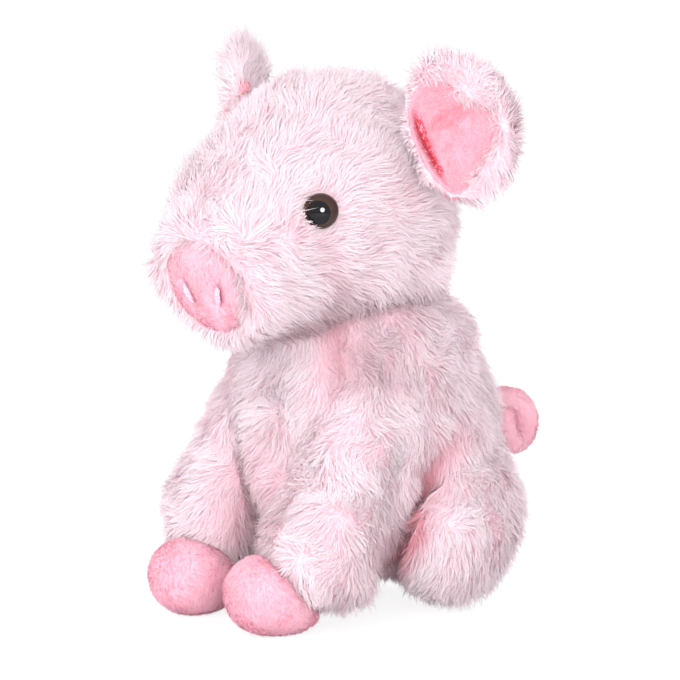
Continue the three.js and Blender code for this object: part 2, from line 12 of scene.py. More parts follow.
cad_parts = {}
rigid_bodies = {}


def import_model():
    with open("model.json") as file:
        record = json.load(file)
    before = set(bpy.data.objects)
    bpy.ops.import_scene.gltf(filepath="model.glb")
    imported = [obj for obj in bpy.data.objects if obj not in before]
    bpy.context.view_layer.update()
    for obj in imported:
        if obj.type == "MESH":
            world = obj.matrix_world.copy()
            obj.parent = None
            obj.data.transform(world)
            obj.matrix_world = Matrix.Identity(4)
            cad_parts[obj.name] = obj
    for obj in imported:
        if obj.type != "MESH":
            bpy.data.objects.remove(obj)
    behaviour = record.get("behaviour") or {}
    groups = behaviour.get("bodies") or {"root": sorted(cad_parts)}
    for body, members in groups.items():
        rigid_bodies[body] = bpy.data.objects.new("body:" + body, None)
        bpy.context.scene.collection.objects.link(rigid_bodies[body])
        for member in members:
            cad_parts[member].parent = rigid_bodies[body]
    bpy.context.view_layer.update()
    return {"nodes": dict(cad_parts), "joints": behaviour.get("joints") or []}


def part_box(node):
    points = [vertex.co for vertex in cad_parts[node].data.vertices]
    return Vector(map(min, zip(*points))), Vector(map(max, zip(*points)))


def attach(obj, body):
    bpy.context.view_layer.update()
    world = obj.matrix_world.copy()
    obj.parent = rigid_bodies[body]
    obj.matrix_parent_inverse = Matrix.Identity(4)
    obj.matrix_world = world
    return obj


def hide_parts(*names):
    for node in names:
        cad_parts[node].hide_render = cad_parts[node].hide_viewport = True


bl_info = {
    "name": "Plush Pig",
    "version": (1, 0, 0),
    "blender": (4, 5, 0),
    "location": "View3D > Sidebar > Plush Pig",
    "description": "Dresses the frame of a sitting plush pig in pile, eyes and stitches",
    "category": "Object",
}

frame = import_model()

MM = 0.001
SIDES = ("left", "right")
UP = np.array([0.0, 0.0, 1.0])
WHITE = (1.0, 1.0, 1.0, 1.0)

# The map that carries the colours of fibres and eyes, and the most faces in one piece of pile
PATTERN_MAP = "OFBake"
PIECE_FACES = 190000


# Vectors


def unit(vectors):
    lengths = np.linalg.norm(vectors, axis=-1, keepdims=True)
    return vectors / np.maximum(lengths, 1e-12)


def along(vectors, ways):
    """How far each vector reaches along each way, as a column."""
    return np.sum(vectors * ways, axis=-1, keepdims=True)


def flattened(flow, normals):
    """A flow laid into the surface that has these normals."""
    return unit(flow - along(flow, normals) * normals)


def near(distance, reach):
    """1 at a place, falling smoothly to 0 past a reach."""
    return np.exp(-((distance / reach) ** 2))


def about(places, middle, reach):
    """1 at a middle, falling smoothly to 0 past a reach from it."""
    return near(np.linalg.norm(places - np.array(middle), axis=1), reach)


def both_sides(local):
    """Places aside, back and up, with the left and the right side folded together."""
    return np.column_stack([np.abs(local[:, 0]), local[:, 1:]])


def ramp(value, start, end):
    """0 before start, 1 after end, and a smooth rise between."""
    share = np.clip((value - start) / (end - start), 0.0, 1.0)
    return share * share * (3.0 - 2.0 * share)


def from_line(places, knots):
    """How far places lie from a line of straight stretches between knots."""
    nearest = np.full(len(places), np.inf)
    knots = np.array(knots, float)
    for start, end in zip(knots[:-1], knots[1:]):
        way = end - start
        share = np.clip((places - start) @ way / (way @ way), 0.0, 1.0)
        gap = np.linalg.norm(places - start - share[:, None] * way, axis=1)
        nearest = np.minimum(nearest, gap)
    return nearest


def closed_curve(points, steps):
    """A smooth closed line through some points, with so many steps between two of them."""
    before, after, last = (np.roll(points, n, axis=0) for n in (1, -1, -2))
    rows = []
    for t in np.linspace(0.0, 1.0, steps, endpoint=False):
        straight = (after - before) * t
        bent = (2.0 * before - 5.0 * points + 4.0 * after - last) * t**2
        turned = (3.0 * points - before - 3.0 * after + last) * t**3
        rows.append(0.5 * (2.0 * points + straight + bent + turned))
    return np.stack(rows, axis=1).reshape(-1, points.shape[1])


class Ripple:
    """Smooth noise in space, from a few seeded waves about as long as a size."""

    def __init__(self, seed, size, waves=9):
        rng = np.random.default_rng(seed)
        turns = 2.0 * math.pi / (size * rng.uniform(0.6, 1.6, (waves, 1)))
        self.ways = unit(rng.normal(size=(waves, 3))) * turns
        self.phases = rng.uniform(0.0, 2.0 * math.pi, waves)
        self.scale = math.sqrt(2.0 / waves)

    def __call__(self, places):
        return np.sin(places @ self.ways.T + self.phases).sum(axis=1) * self.scale


# What the frame tells


def joint(name):
    return next(j for j in frame["joints"] if j["name"] == name)


def read_points(mesh):
    places = np.zeros(len(mesh.vertices) * 3)
    mesh.vertices.foreach_get("co", places)
    return places.reshape(-1, 3)


def node_points(name):
    return read_points(frame["nodes"][name].data)


def main_axes(points):
    """The middle of some points, and the ways in which they reach most to least."""
    middle = (points.min(axis=0) + points.max(axis=0)) / 2.0
    spread = points - points.mean(axis=0)
    return middle, np.linalg.svd(spread, full_matrices=False)[2]


class HeadFrame:
    """The head's own directions: aside to its left, back and up, about the neck."""

    def __init__(self):
        nod = joint("head_nod")
        self.pivot = np.array(nod["pos_m"])
        self.aside = unit(np.array(nod["axis"], float))
        self.back = np.cross(UP, self.aside)
        self.snout = np.mean(node_points("snout_panel"), axis=0)

    def local(self, places):
        """Places as millimetres aside, back and up from the neck."""
        rows = np.stack([self.aside, self.back, UP])
        return (places - self.pivot) @ rows.T / MM


class SnoutFrame:
    """The snout's disc: its middle, the way that it faces and its radius."""

    def __init__(self):
        points = node_points("snout_panel")
        self.middle, axes = main_axes(points)
        self.way = axes[2] * np.sign(axes[2] @ (self.middle - HeadFrame().pivot))
        self.radius = np.linalg.norm(points - self.middle, axis=1).max()

    def split(self, places):
        """How far places lie ahead of the disc's middle, and how far from its axis."""
        away = places - self.middle
        ahead = away @ self.way
        return ahead, np.linalg.norm(away - np.outer(ahead, self.way), axis=1)

    def rim(self, places, depth):
        """1 at the disc's edge, falling to 0 away from it, as far back as a depth."""
        ahead, aside = self.split(places)
        return near(np.maximum(0.0, aside - self.radius), 5.0 * MM) * (ahead > -depth)


class BodyFrame:
    """Places on the body, from the floor below the point between the front legs' hinges."""

    def __init__(self):
        swing = joint("front_leg_left_swing")["pos_m"]
        self.origin = np.array([joint("head_turn")["pos_m"][0], swing[1], 0.0])

    def local(self, places):
        """Places as millimetres aside, back and up, both sides folded together."""
        return both_sides((places - self.origin) / MM)


class EyeFrame:
    """Where an eye sits: its seat on the head, its way out, its radius and its height."""

    def __init__(self, side):
        points = node_points(f"eye_{side}")
        middle = points.mean(axis=0)
        self.out = unit(middle - node_points(f"eye_washer_{side}").mean(axis=0))
        reach = (points - middle) @ self.out
        aside = np.linalg.norm(points - middle - np.outer(reach, self.out), axis=1)
        self.radius = aside.max()
        self.seat = middle + self.out * reach[aside > self.radius * 0.98].min()
        self.height = reach.max() - reach[aside > self.radius * 0.98].min()


class EarFrame:
    """An ear's own directions: out from the skull, up its hinge, and to its front."""

    # The lining's outline and middle, as shares of the ear's half sizes outward and upward
    LINING_SHARES = (
        (-0.72, 0.38),
        (-0.54, 0.54),
        (-0.28, 0.57),
        (-0.02, 0.4),
        (0.30, 0.22),
        (0.54, 0.02),
        (0.50, -0.22),
        (0.26, -0.42),
        (-0.21, -0.78),
        (-0.48, -0.60),
        (-0.68, -0.22),
        (-0.76, 0.08),
    )
    LINING_MIDDLE_SHARE = (-0.17, -0.03)

    def __init__(self, side):
        hinge = joint(f"ear_{side}_flop")
        self.side = side
        self.root = np.array(hinge["pos_m"])
        self.up = unit(np.array(hinge["axis"], float))
        if self.up[2] < 0:
            self.up = -self.up
        self.points = node_points(f"ear_panel_{side}")
        lining = node_points(f"ear_lining_{side}")
        _, ways = main_axes(lining)
        front = ways[2]
        back = self.points.mean(axis=0) - lining.mean(axis=0)
        self.front = unit(-front if front @ back > 0 else front)
        self.out = unit(np.cross(self.up, self.front))
        if self.out @ (lining.mean(axis=0) - self.root) < 0:
            self.out = -self.out
        self.up = unit(np.cross(self.front, self.out))
        if self.up[2] < 0:
            self.up = -self.up
        self.middle = lining.mean(axis=0)
        flat = self.local(self.points)
        self.half_out = np.ptp(flat[:, 0]) / 2.0
        self.half_up = np.ptp(flat[:, 1]) / 2.0
        self.middle = self.middle + self.place(
            (flat[:, 0].max() + flat[:, 0].min()) / 2.0,
            (flat[:, 1].max() + flat[:, 1].min()) / 2.0,
            0.0,
        )

    def lining_reach(self, flat):
        """How far places lie from the lining's middle, as a share of the way to its edge."""
        halves = np.array([self.half_out, self.half_up])
        middle = np.array(self.LINING_MIDDLE_SHARE) * halves
        edge = closed_curve(np.array(self.LINING_SHARES), 8) * halves - middle
        turns = np.arctan2(edge[:, 1], edge[:, 0])
        order = np.argsort(turns)
        gap = flat[:, :2] - middle
        angles = np.arctan2(gap[:, 1], gap[:, 0])
        far = np.linalg.norm(edge, axis=1)[order]
        rim = np.interp(angles, turns[order], far, period=2.0 * math.pi)
        return np.linalg.norm(gap, axis=1) / rim

    def place(self, out, up, front):
        """A step in metres along the ear's own directions."""
        return (
            np.multiply.outer(out, self.out)
            + np.multiply.outer(up, self.up)
            + np.multiply.outer(front, self.front)
        )

    def local(self, places):
        """Places in metres along the ear's own directions, from its middle."""
        rows = np.stack([self.out, self.up, self.front])
        return (places - self.middle) @ rows.T


# Shader sums


class Signal:
    """A shader socket that takes part in sums, each of which adds its Math node."""

    def __init__(self, nodes, socket):
        self.nodes = nodes
        self.socket = socket

    def sum(self, operation, first, second):
        node = self.nodes.node("ShaderNodeMath", {"operation": operation})
        for socket, value in zip(node.inputs, (first, second)):
            self.nodes.feed(socket, value)
        return Signal(self.nodes, node.outputs[0])

    def __add__(self, other):
        return self.sum("ADD", self, other)

    __radd__ = __add__

    def __sub__(self, other):
        return self.sum("SUBTRACT", self, other)

    def __rsub__(self, other):
        return self.sum("SUBTRACT", other, self)

    def __mul__(self, other):
        return self.sum("MULTIPLY", self, other)

    __rmul__ = __mul__

    def smooth(self, start, end):
        """0 before start, 1 after end, and a smooth rise between."""
        settings = {"interpolation_type": "SMOOTHSTEP"}
        node = self.nodes.node("ShaderNodeMapRange", settings, Value=self)
        node.inputs["From Min"].default_value = start
        node.inputs["From Max"].default_value = end
        return Signal(self.nodes, node.outputs[0])


def full(colour):
    """A colour with its alpha, and anything else as it is."""
    if isinstance(colour, (Signal, bpy.types.NodeSocket, float, int)):
        return colour
    values = tuple(colour)
    return values + (1.0,) if len(values) == 3 else values


class Nodes:
    """The nodes of a material or a world."""

    def __init__(self, tree):
        self.tree = tree

    def feed(self, socket, value):
        if isinstance(value, Signal):
            self.tree.links.new(value.socket, socket)
        elif isinstance(value, bpy.types.NodeSocket):
            self.tree.links.new(value, socket)
        else:
            socket.default_value = value

    def node(self, kind, settings=None, **sockets):
        """Any node: its settings first, then the values or links of its sockets."""
        node = self.tree.nodes.new(kind)
        for name, value in (settings or {}).items():
            setattr(node, name, value)
        for name, value in sockets.items():
            self.feed(node.inputs[name.replace("_", " ")], value)
        return node

    def signal(self, node, output=0):
        return Signal(self, node.outputs[output])

    def mixed(self, factor, first, second, output):
        """Mixes the shaders of two nodes into an output node."""
        mix = self.node("ShaderNodeMixShader")
        for socket, value in zip(mix.inputs, (factor, first.outputs[0], second.outputs[0])):
            self.feed(socket, value)
        self.feed(output.inputs["Surface"], mix.outputs[0])


class Finish(Nodes):
    """A material in the making, with one Principled surface."""

    def __init__(self, name):
        self.material = bpy.data.materials.new(name)
        self.material.use_nodes = True
        super().__init__(self.material.node_tree)
        self.surface = self.tree.nodes["Principled BSDF"]

    def blend(self, factor, first, second):
        """A colour between two colours, or links to colours."""
        node = self.node("ShaderNodeMix", {"data_type": "RGBA"})
        self.feed(node.inputs["Factor"], factor)
        for name, colour in (("A", first), ("B", second)):
            socket = next(s for s in node.inputs if s.name == name and s.type == "RGBA")
            self.feed(socket, full(colour))
        return next(s for s in node.outputs if s.type == "RGBA")

    def map_axes(self):
        """The two coordinates of the pattern's map."""
        node = self.node("ShaderNodeUVMap", {"uv_map": PATTERN_MAP})
        split = self.node("ShaderNodeSeparateXYZ", Vector=node.outputs["UV"])
        return self.signal(split, "X"), self.signal(split, "Y")

    def noise(self, scale, detail=2.0, rough=0.5):
        """Noise fixed to the object, with about so many grains to a metre."""
        place = self.node("ShaderNodeTexCoord").outputs["Object"]
        sockets = {"Vector": place, "Scale": scale, "Detail": detail, "Roughness": rough}
        return self.signal(self.node("ShaderNodeTexNoise", **sockets), "Fac")

    def bump(self, height, depth, strength=1.0):
        node = self.node("ShaderNodeBump", Height=height, Distance=depth, Strength=strength)
        self.feed(self.surface.inputs["Normal"], node.outputs["Normal"])

    def colour(self, value):
        self.feed(self.surface.inputs["Base Color"], full(value))

    def plain(self, **sockets):
        """Numbers and colours that are the same all over."""
        for name, value in sockets.items():
            self.surface.inputs[name.replace("_", " ")].default_value = full(value)


# Finishes


def pile_finish(name, root, tip, glow, crease, painted_shade):
    """Fibres, deep at the root and pale at the tip; painted shade in creases and under the chin."""
    finish = Finish(name)
    tone, length = finish.map_axes()
    lit = finish.blend(length.smooth(0.0, 0.75), root, tip)
    bright = finish.blend(tone.smooth(0.15, 1.0) * 0.55, lit, glow)
    # Painted shade: a tone below zero turns a fibre to the grey shade colour
    dim = finish.blend((0.0 - tone).smooth(-0.3, 0.7), bright, painted_shade)
    # Painted shade: a length below zero turns a fibre to the crease colour
    finish.colour(finish.blend((0.0 - length).smooth(0.0, 0.5), dim, crease))
    finish.plain(Roughness=0.85, Specular_IOR_Level=0.06, Sheen_Weight=0.1)
    finish.plain(Sheen_Roughness=0.4, Sheen_Tint=glow)
    return finish.material


def backing_finish(name, colour, deep):
    """The knitted cloth that the pile grows from."""
    finish = Finish(name)
    mottle = finish.noise(260.0, 3.0)
    finish.colour(finish.blend(mottle.smooth(0.3, 0.7), deep, colour))
    finish.bump(finish.noise(1400.0, 1.0), 0.0003, 0.5)
    finish.plain(Roughness=0.95, Specular_IOR_Level=0.1)
    return finish.material


def short_pile_finish(name, colour, deep):
    """Brushed short pile: mottled where it is stroked one way or the other."""
    finish = Finish(name)
    stroke = finish.noise(130.0, 3.0, 0.6)
    grain = finish.noise(2600.0, 2.0, 0.6)
    tone = stroke.smooth(0.25, 0.75) * 0.6 + grain.smooth(0.3, 0.7) * 0.4
    finish.colour(finish.blend(tone, deep, colour))
    finish.bump(grain + stroke * 0.6, 0.0004, 0.7)
    finish.plain(Roughness=0.85, Specular_IOR_Level=0.12, Sheen_Weight=0.35)
    finish.plain(Sheen_Roughness=0.5, Sheen_Tint=colour)
    return finish.material


def thread_finish(name, colour, deep, twist):
    """Spun thread, its strands twisted about so many times a metre and painted lit and shaded."""
    finish = Finish(name)
    place = finish.node("ShaderNodeTexCoord").outputs["Object"]
    wave = finish.node("ShaderNodeTexWave", Vector=place, Scale=twist, Distortion=1.5)
    strands = finish.signal(wave, "Fac")
    # Painted light and shade: each strand has a lit and a shaded side
    finish.colour(finish.blend(strands, deep, colour))
    finish.bump(strands, 0.0001, 0.5)
    finish.plain(Roughness=0.35, Specular_IOR_Level=0.5)
    return finish.material


def eye_finish(name, iris, edge, pupil):
    """A moulded eye: a dark pupil in a brown ring, under clear plastic."""
    finish = Finish(name)
    turn, reach = finish.map_axes()
    noise = finish.node("ShaderNodeTexNoise", {"noise_dimensions": "1D"}, W=turn, Scale=60.0)
    streaks = finish.signal(noise)
    ring = finish.blend(reach.smooth(0.72, 0.97), iris, edge)
    lively = finish.blend(streaks.smooth(0.35, 0.75) * 0.4, ring, edge)
    finish.colour(finish.blend(reach.smooth(0.66, 0.72), pupil, lively))
    finish.plain(Roughness=0.04, IOR=1.4, Specular_IOR_Level=0.45)
    return finish.material


def plastic_finish(name, colour, deep):
    finish = Finish(name)
    finish.colour(finish.blend(finish.noise(500.0, 2.0).smooth(0.3, 0.7), deep, colour))
    finish.plain(Roughness=0.45)
    return finish.material


# Mesh work


def linked(name, mesh):
    piece = bpy.data.objects.new(name, mesh)
    bpy.context.scene.collection.objects.link(piece)
    return piece


def shade_smooth(mesh):
    mesh.polygons.foreach_set("use_smooth", np.ones(len(mesh.polygons), bool))


def from_triangles(name, places, corners):
    """A mesh from arrays of points and of three corners a face."""
    mesh = bpy.data.meshes.new(name)
    mesh.vertices.add(len(places))
    mesh.vertices.foreach_set("co", places.astype(np.float32).ravel())
    mesh.loops.add(corners.size)
    mesh.loops.foreach_set("vertex_index", corners.astype(np.int32).ravel())
    mesh.polygons.add(len(corners))
    mesh.polygons.foreach_set("loop_start", np.arange(0, corners.size, 3, dtype=np.int32))
    mesh.update(calc_edges=True)
    shade_smooth(mesh)
    return mesh


def write_map(mesh, coordinates):
    """A UV map from one pair of coordinates for each point."""
    corners = np.zeros(len(mesh.loops), np.int32)
    mesh.loops.foreach_get("vertex_index", corners)
    layer = mesh.uv_layers.new(name=PATTERN_MAP)
    layer.data.foreach_set("uv", coordinates[corners].astype(np.float32).ravel())


def settled(piece):
    """Applies all the modifiers of a piece to its mesh."""
    graph = bpy.context.evaluated_depsgraph_get()
    mesh = bpy.data.meshes.new_from_object(piece.evaluated_get(graph))
    piece.modifiers.clear()
    piece.data = mesh
    shade_smooth(mesh)
    return piece


def softened(piece, times):
    """Evens out a piece's surface, with its other modifiers applied before."""
    piece.modifiers.new("soften", "SMOOTH").iterations = times
    return settled(piece)


def remeshed(piece, voxel, smoothing):
    """An even mesh of small faces over the same form, with its edges softened."""
    remesh = piece.modifiers.new("even", "REMESH")
    remesh.mode = "VOXEL"
    remesh.voxel_size = voxel
    return softened(piece, smoothing)


def hull(name, points):
    """The taut form round some points."""
    form = bmesh.new()
    for point in points:
        form.verts.new(point)
    made = bmesh.ops.convex_hull(form, input=form.verts)
    loose = made["geom_interior"] + made["geom_unused"]
    inside = {e for e in loose if isinstance(e, bmesh.types.BMVert)}
    bmesh.ops.delete(form, geom=list(inside), context="VERTS")
    bmesh.ops.recalc_face_normals(form, faces=form.faces)
    mesh = bpy.data.meshes.new(name)
    form.to_mesh(mesh)
    form.free()
    return linked(name, mesh)


def grid(rows, spokes):
    """The faces between rows of points that each run round in the same number of spokes."""
    corners = []
    for i in range(rows - 1):
        for j in range(spokes):
            a, b = i * spokes + j, i * spokes + (j + 1) % spokes
            corners += [(a, a + spokes, b + spokes), (a, b + spokes, b)]
    return corners


def joined(mesh, gap, front=None):
    """Joins points within a gap and turns all faces outward, or to the front."""
    form = bmesh.new()
    form.from_mesh(mesh)
    bmesh.ops.remove_doubles(form, verts=form.verts, dist=gap)
    bmesh.ops.recalc_face_normals(form, faces=form.faces)
    if front is not None and sum(f.normal.dot(Vector(front)) for f in form.faces) < 0.0:
        bmesh.ops.reverse_faces(form, faces=form.faces)
    form.to_mesh(mesh)
    form.free()
    shade_smooth(mesh)


def read_normals(mesh):
    normals = np.zeros(len(mesh.vertices) * 3)
    mesh.vertex_normals.foreach_get("vector", normals)
    return normals.reshape(-1, 3)


def moved(piece, places):
    piece.data.vertices.foreach_set("co", places.astype(np.float32).ravel())
    piece.data.update()


def drawn_in(piece, depth):
    """Moves a surface inward by a depth, or by one depth for each point."""
    places = read_points(piece.data)
    moved(piece, places - read_normals(piece.data) * np.reshape(depth, (-1, 1)))


def finished(piece, body, material, replaced=()):
    """Gives a piece its finish and its body, and hides the nodes that it stands for."""
    piece.data.materials.clear()
    piece.data.materials.append(material)
    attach(piece, body)
    if replaced:
        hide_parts(*replaced)
    return piece


class Cover:
    """The points, normals and triangles of a surface that pile grows on."""

    def __init__(self, piece):
        mesh = piece.data
        mesh.calc_loop_triangles()
        self.places = read_points(mesh)
        self.normals = read_normals(mesh)
        corners = np.zeros(len(mesh.loop_triangles) * 3, np.int32)
        mesh.loop_triangles.foreach_get("vertices", corners)
        self.corners = corners.reshape(-1, 3)
        a, b, c = (self.places[self.corners[:, i]] for i in range(3))
        self.areas = np.linalg.norm(np.cross(b - a, c - a), axis=1) / 2.0

    def scatter(self, count, weights, rng):
        """Random places on the surface, with weights from 0 to 1 for each point."""
        shares = self.areas * weights[self.corners].mean(axis=1)
        chosen = rng.choice(len(shares), count, p=shares / shares.sum())
        u, v = rng.random((2, count, 1))
        u, v = np.where(u + v > 1.0, 1.0 - u, u), np.where(u + v > 1.0, 1.0 - v, v)
        a, b, c = (self.corners[chosen, i] for i in range(3))
        places = self.places[a] * (1.0 - u - v) + self.places[b] * u + self.places[c] * v
        normals = self.normals[a] * (1.0 - u - v) + self.normals[b] * u + self.normals[c] * v
        return places, unit(normals)

    def open_area(self, weights):
        return float((self.areas * weights[self.corners].mean(axis=1)).sum())


def surface_tree(mesh):
    """A mesh's faces, ready for a search of the nearest or of what a ray meets."""
    return BVHTree.FromPolygons([v.co for v in mesh.vertices], [p.vertices for p in mesh.polygons])


def depth_inside(places, other):
    """How deep places lie inside another piece, in metres, and 0 outside it."""
    tree = surface_tree(other.data)
    low, high = read_points(other.data).min(axis=0), read_points(other.data).max(axis=0)
    depths = np.zeros(len(places))
    for i in np.flatnonzero(np.all((places > low) & (places < high), axis=1)):
        if crossings(tree, Vector(places[i])) % 2:
            depths[i] = tree.find_nearest(Vector(places[i]))[3]
    return depths


def crossings(tree, place):
    """How many faces a ray from a place meets, an odd number if it starts inside."""
    way = Vector((0.31, 0.47, 0.83))
    count = 0
    while True:
        hit = tree.ray_cast(place, way)[0]
        if hit is None:
            return count
        count += 1
        place = hit + way * 0.01 * MM


def shown_weights(cover, others, least, most):
    """1 where a surface shows, 0 where another piece covers it deeper than most."""
    weights = np.ones(len(cover.places))
    for other in others:
        weights *= 1.0 - ramp(depth_inside(cover.places, other), least, most)
    return weights


def nearest_of(places, centres):
    tree = KDTree(len(centres))
    for i, centre in enumerate(centres):
        tree.insert(Vector(centre), i)
    tree.balance()
    return np.array([tree.find(Vector(place))[1] for place in places])


# Pile

# How fast painted shade in a crease runs a fibre's map down from the tip's colour to the root's,
# and on to the crease colour
CREASE_SHADE_DEPTH = 1.6

# The gap that fibres keep from the floor, and the way in which a pile is cut into bands
FLOOR_GAP = 0.15 * MM
BAND_WAY = np.array([0.3, 0.2, 1.0])


class Pile:
    """A growth of fibres: how they lean, bend and gather, and how thick they are."""

    def __init__(self, props, seed, segments=3):
        self.props = props
        self.rng = np.random.default_rng(seed)
        self.segments = segments
        self.tone = Ripple(seed, 22.0 * MM)
        self.sweep = [Ripple(seed + i + 1, 16.0 * MM) for i in range(3)]

    def paths(self, roots, normals, flow, lengths, lift):
        """Points along each fibre, from root to tip."""
        props, rng = self.props, self.rng
        swirl = np.stack([wave(roots) for wave in self.sweep], axis=1) * props.wander
        lay = flattened(flow + swirl, normals)
        start = np.clip(lift + rng.normal(0.0, props.scatter, len(roots)), 0.1, 1.45)
        end = start * props.settle
        steps = self.segments * 2
        places = [roots]
        drift = rng.normal(0.0, props.frizz, (len(roots), 3))
        for k in range(steps):
            share = (k + 0.5) / steps
            angle = (start * (1.0 - share) + end * share)[:, None]
            way = np.cos(angle) * lay + np.sin(angle) * normals
            way = unit(way + drift * (0.3 + share) - UP * props.droop * share)
            places.append(places[-1] + way * lengths[:, None] / steps)
            drift = 0.65 * drift + 0.75 * rng.normal(0.0, props.frizz, (len(roots), 3))
        return np.stack(places[::2], axis=1)

    def gathered(self, paths):
        """Draws the tips of neighbours together into tufts, and tells each fibre's guide."""
        roots = paths[:, 0]
        count = max(8, int(len(roots) / self.props.tuft))
        guides = self.rng.choice(len(roots), count, replace=False)
        own = guides[nearest_of(roots, roots[guides])]
        shares = np.linspace(0.0, 1.0, self.segments + 1)[None, :, None]
        reach = np.linalg.norm(paths[:, -1] - roots, axis=1)
        led = np.linalg.norm(paths[own, -1] - roots[own], axis=1)
        scale = (reach / np.maximum(led, 1e-9))[:, None, None]
        guide = (paths[own] - roots[own][:, None]) * scale
        spread = (roots - roots[own])[:, None]
        pulled = roots[:, None] + guide - spread * shares**1.4 * 0.9
        strength = self.props.gather * self.rng.uniform(0.55, 1.0, (len(roots), 1, 1))
        return paths + (pulled - paths) * strength * shares, own

    def grow(self, name, cover, weights, flow, lengths, lift=None, density=1.0, shade=None):
        """The pieces of pile on a cover, cut into bands where there are many fibres.

        flow, lengths, lift and shade, the shares of painted crease and grey shade, come from the
        roots."""
        props, rng = self.props, self.rng
        area = cover.open_area(weights)
        count = int(area * props.density * 1e4 * density)
        roots, normals = cover.scatter(count, weights, rng)
        reach = lengths(roots) * rng.uniform(0.72, 1.12, count)
        lean = np.full(count, props.lift) if lift is None else lift(roots)
        paths = self.paths(roots, normals, flow(roots, normals), reach, lean)
        paths, own = self.gathered(paths)
        paths[:, 1:, 2] = np.maximum(paths[:, 1:, 2], FLOOR_GAP)
        tone = 0.5 + 0.16 * self.tone(roots) + rng.normal(0.0, 0.1, count)
        tone = np.clip(tone + rng.normal(0.0, 0.12, count)[own % count], 0.02, 0.98)
        crease, painted_shade = (np.zeros(count), np.zeros(count)) if shade is None else shade(roots)
        faces = 2 * (2 * self.segments - 1)
        parts = math.ceil(count * faces / PIECE_FACES)
        # Painted shade: the grey share pulls a fibre's tone below zero, and the crease share towards
        # zero
        tone = (tone * (1.0 - painted_shade) - painted_shade) * np.clip(1.0 - CREASE_SHADE_DEPTH * crease, 0.0, 1.0)
        order = np.argsort(roots @ BAND_WAY)
        names = [name] if parts == 1 else [f"{name}_{k + 1}" for k in range(parts)]
        return [
            self.ribbons(part, paths[kept], normals[kept], tone[kept], crease[kept])
            for part, kept in zip(names, np.array_split(order, parts))
        ]

    def ribbons(self, name, paths, normals, tone, crease):
        """A flat tapering blade for each path, with a front and a back skin."""
        count, knots = paths.shape[:2]
        ways = unit(np.gradient(paths, axis=1))
        outward = unit(normals[:, None] - along(normals[:, None], ways) * ways)
        side = unit(np.cross(outward, ways))
        twist = np.clip(self.rng.normal(0.0, self.props.twist, (count, 1, 1)), -1.2, 1.2)
        side = side * np.cos(twist) + outward * np.sin(twist)
        shares = np.linspace(0.0, 1.0, knots)[None, :, None]
        widths = self.props.width * (1.0 - shares**1.6) * 0.5
        widths = widths * self.rng.uniform(0.7, 1.3, (count, 1, 1))
        front = unit(np.cross(ways, side))
        pairs = knots - 1
        one = []
        for k in range(pairs - 1):
            one += [(k, pairs + k + 1, pairs + k), (k, k + 1, pairs + k + 1)]
        one.append((pairs - 1, 2 * pairs, 2 * pairs - 1))
        one = np.array(one)
        rows, shades = [], []
        for way in (1.0, -1.0):
            skin = paths + front * way * self.props.width * 0.05
            left, right = skin - side * widths, skin + side * widths
            rows += [left[:, :pairs], right[:, :pairs], skin[:, -1:]]
            facing = front * way
            turned = np.maximum(0.0, -along(facing, normals[:, None]))
            shade = unit(facing * (0.16 + 1.6 * turned) + normals[:, None])
            shades += [shade[:, :pairs], shade[:, :pairs], shade[:, -1:]]
        each = 2 * pairs + 1
        one = np.concatenate([one, one[:, ::-1] + each])
        corners = (one[None] + np.arange(count)[:, None, None] * 2 * each).reshape(-1, 3)
        steps = np.linspace(0.0, 1.0, knots)
        steps = np.tile(np.concatenate([steps[:pairs], steps[:pairs], steps[-1:]]), 2)
        # A crease share paints shade, pulling the length below zero; a share below zero paints light
        depth = np.outer(1.0 - CREASE_SHADE_DEPTH * crease, steps) - 0.5 * crease[:, None]
        places = np.stack([np.repeat(tone, 2 * each), depth.ravel()], axis=1)
        mesh = from_triangles(name, np.concatenate(rows, axis=1).reshape(-1, 3), corners)
        write_map(mesh, places)
        mesh.normals_split_custom_set_from_vertices(np.concatenate(shades, axis=1).reshape(-1, 3))
        return linked(name, mesh)


# Sizes and colours that a user would change


def length(name, text, default):
    return FloatProperty(name=name, description=text, default=default, unit="LENGTH", precision=5)


def share(name, text, default):
    return FloatProperty(name=name, description=text, default=default)


def colour(name, text, default):
    return FloatVectorProperty(
        name=name, description=text, default=default, subtype="COLOR", size=3, min=0.0, max=1.0
    )


class LongPileProperties(bpy.types.PropertyGroup):
    """The fluffy pile of body, head, ears and legs."""

    reach: length("Length", "Length of a fibre", 9.0 * MM)
    width: length("Width", "Width of a fibre at its root", 0.34 * MM)
    density: share("Density", "Fibres to a square centimetre", 260.0)
    lift: share("Lift", "Angle of a fibre over the cloth at its root, in radians", 0.9)
    settle: share("Settle", "Share of that angle left at the tip", 0.4)
    scatter: share("Scatter", "How much that angle varies", 0.28)
    wander: share("Wander", "How far the lie of the pile wanders", 0.5)
    frizz: share("Frizz", "How far single fibres stray", 0.3)
    droop: share("Droop", "Pull of gravity on the tips", 0.25)
    tuft: share("Tuft", "Fibres in a tuft", 24.0)
    gather: share("Gather", "How closely the tips of a tuft meet", 0.28)
    twist: share("Twist", "How far ribbons turn about their length", 0.5)
    inset: length("Backing depth", "Depth of the cloth under the outer form", 5.0 * MM)
    root: colour("Root colour", "Colour in the depth of the pile", (0.955, 0.65, 0.73))
    tip: colour("Tip colour", "Colour of the tips", (0.975, 0.84, 0.89))
    glow: colour("Light tips", "Colour of the palest fibres", (0.99, 0.91, 0.945))
    # Painted shade in the creases and hollows of body, head and legs
    crease: colour("Crease colour", "Colour in the creases", (0.87, 0.38, 0.44))
    # Painted shade: a grey pink under the chin, jaw and collar, and on the left ear's outer side
    painted_shade: colour("Dusk colour", "Colour under the chin", (0.62, 0.45, 0.5))
    backing: colour("Backing colour", "Colour of the cloth", (0.94, 0.7, 0.77))


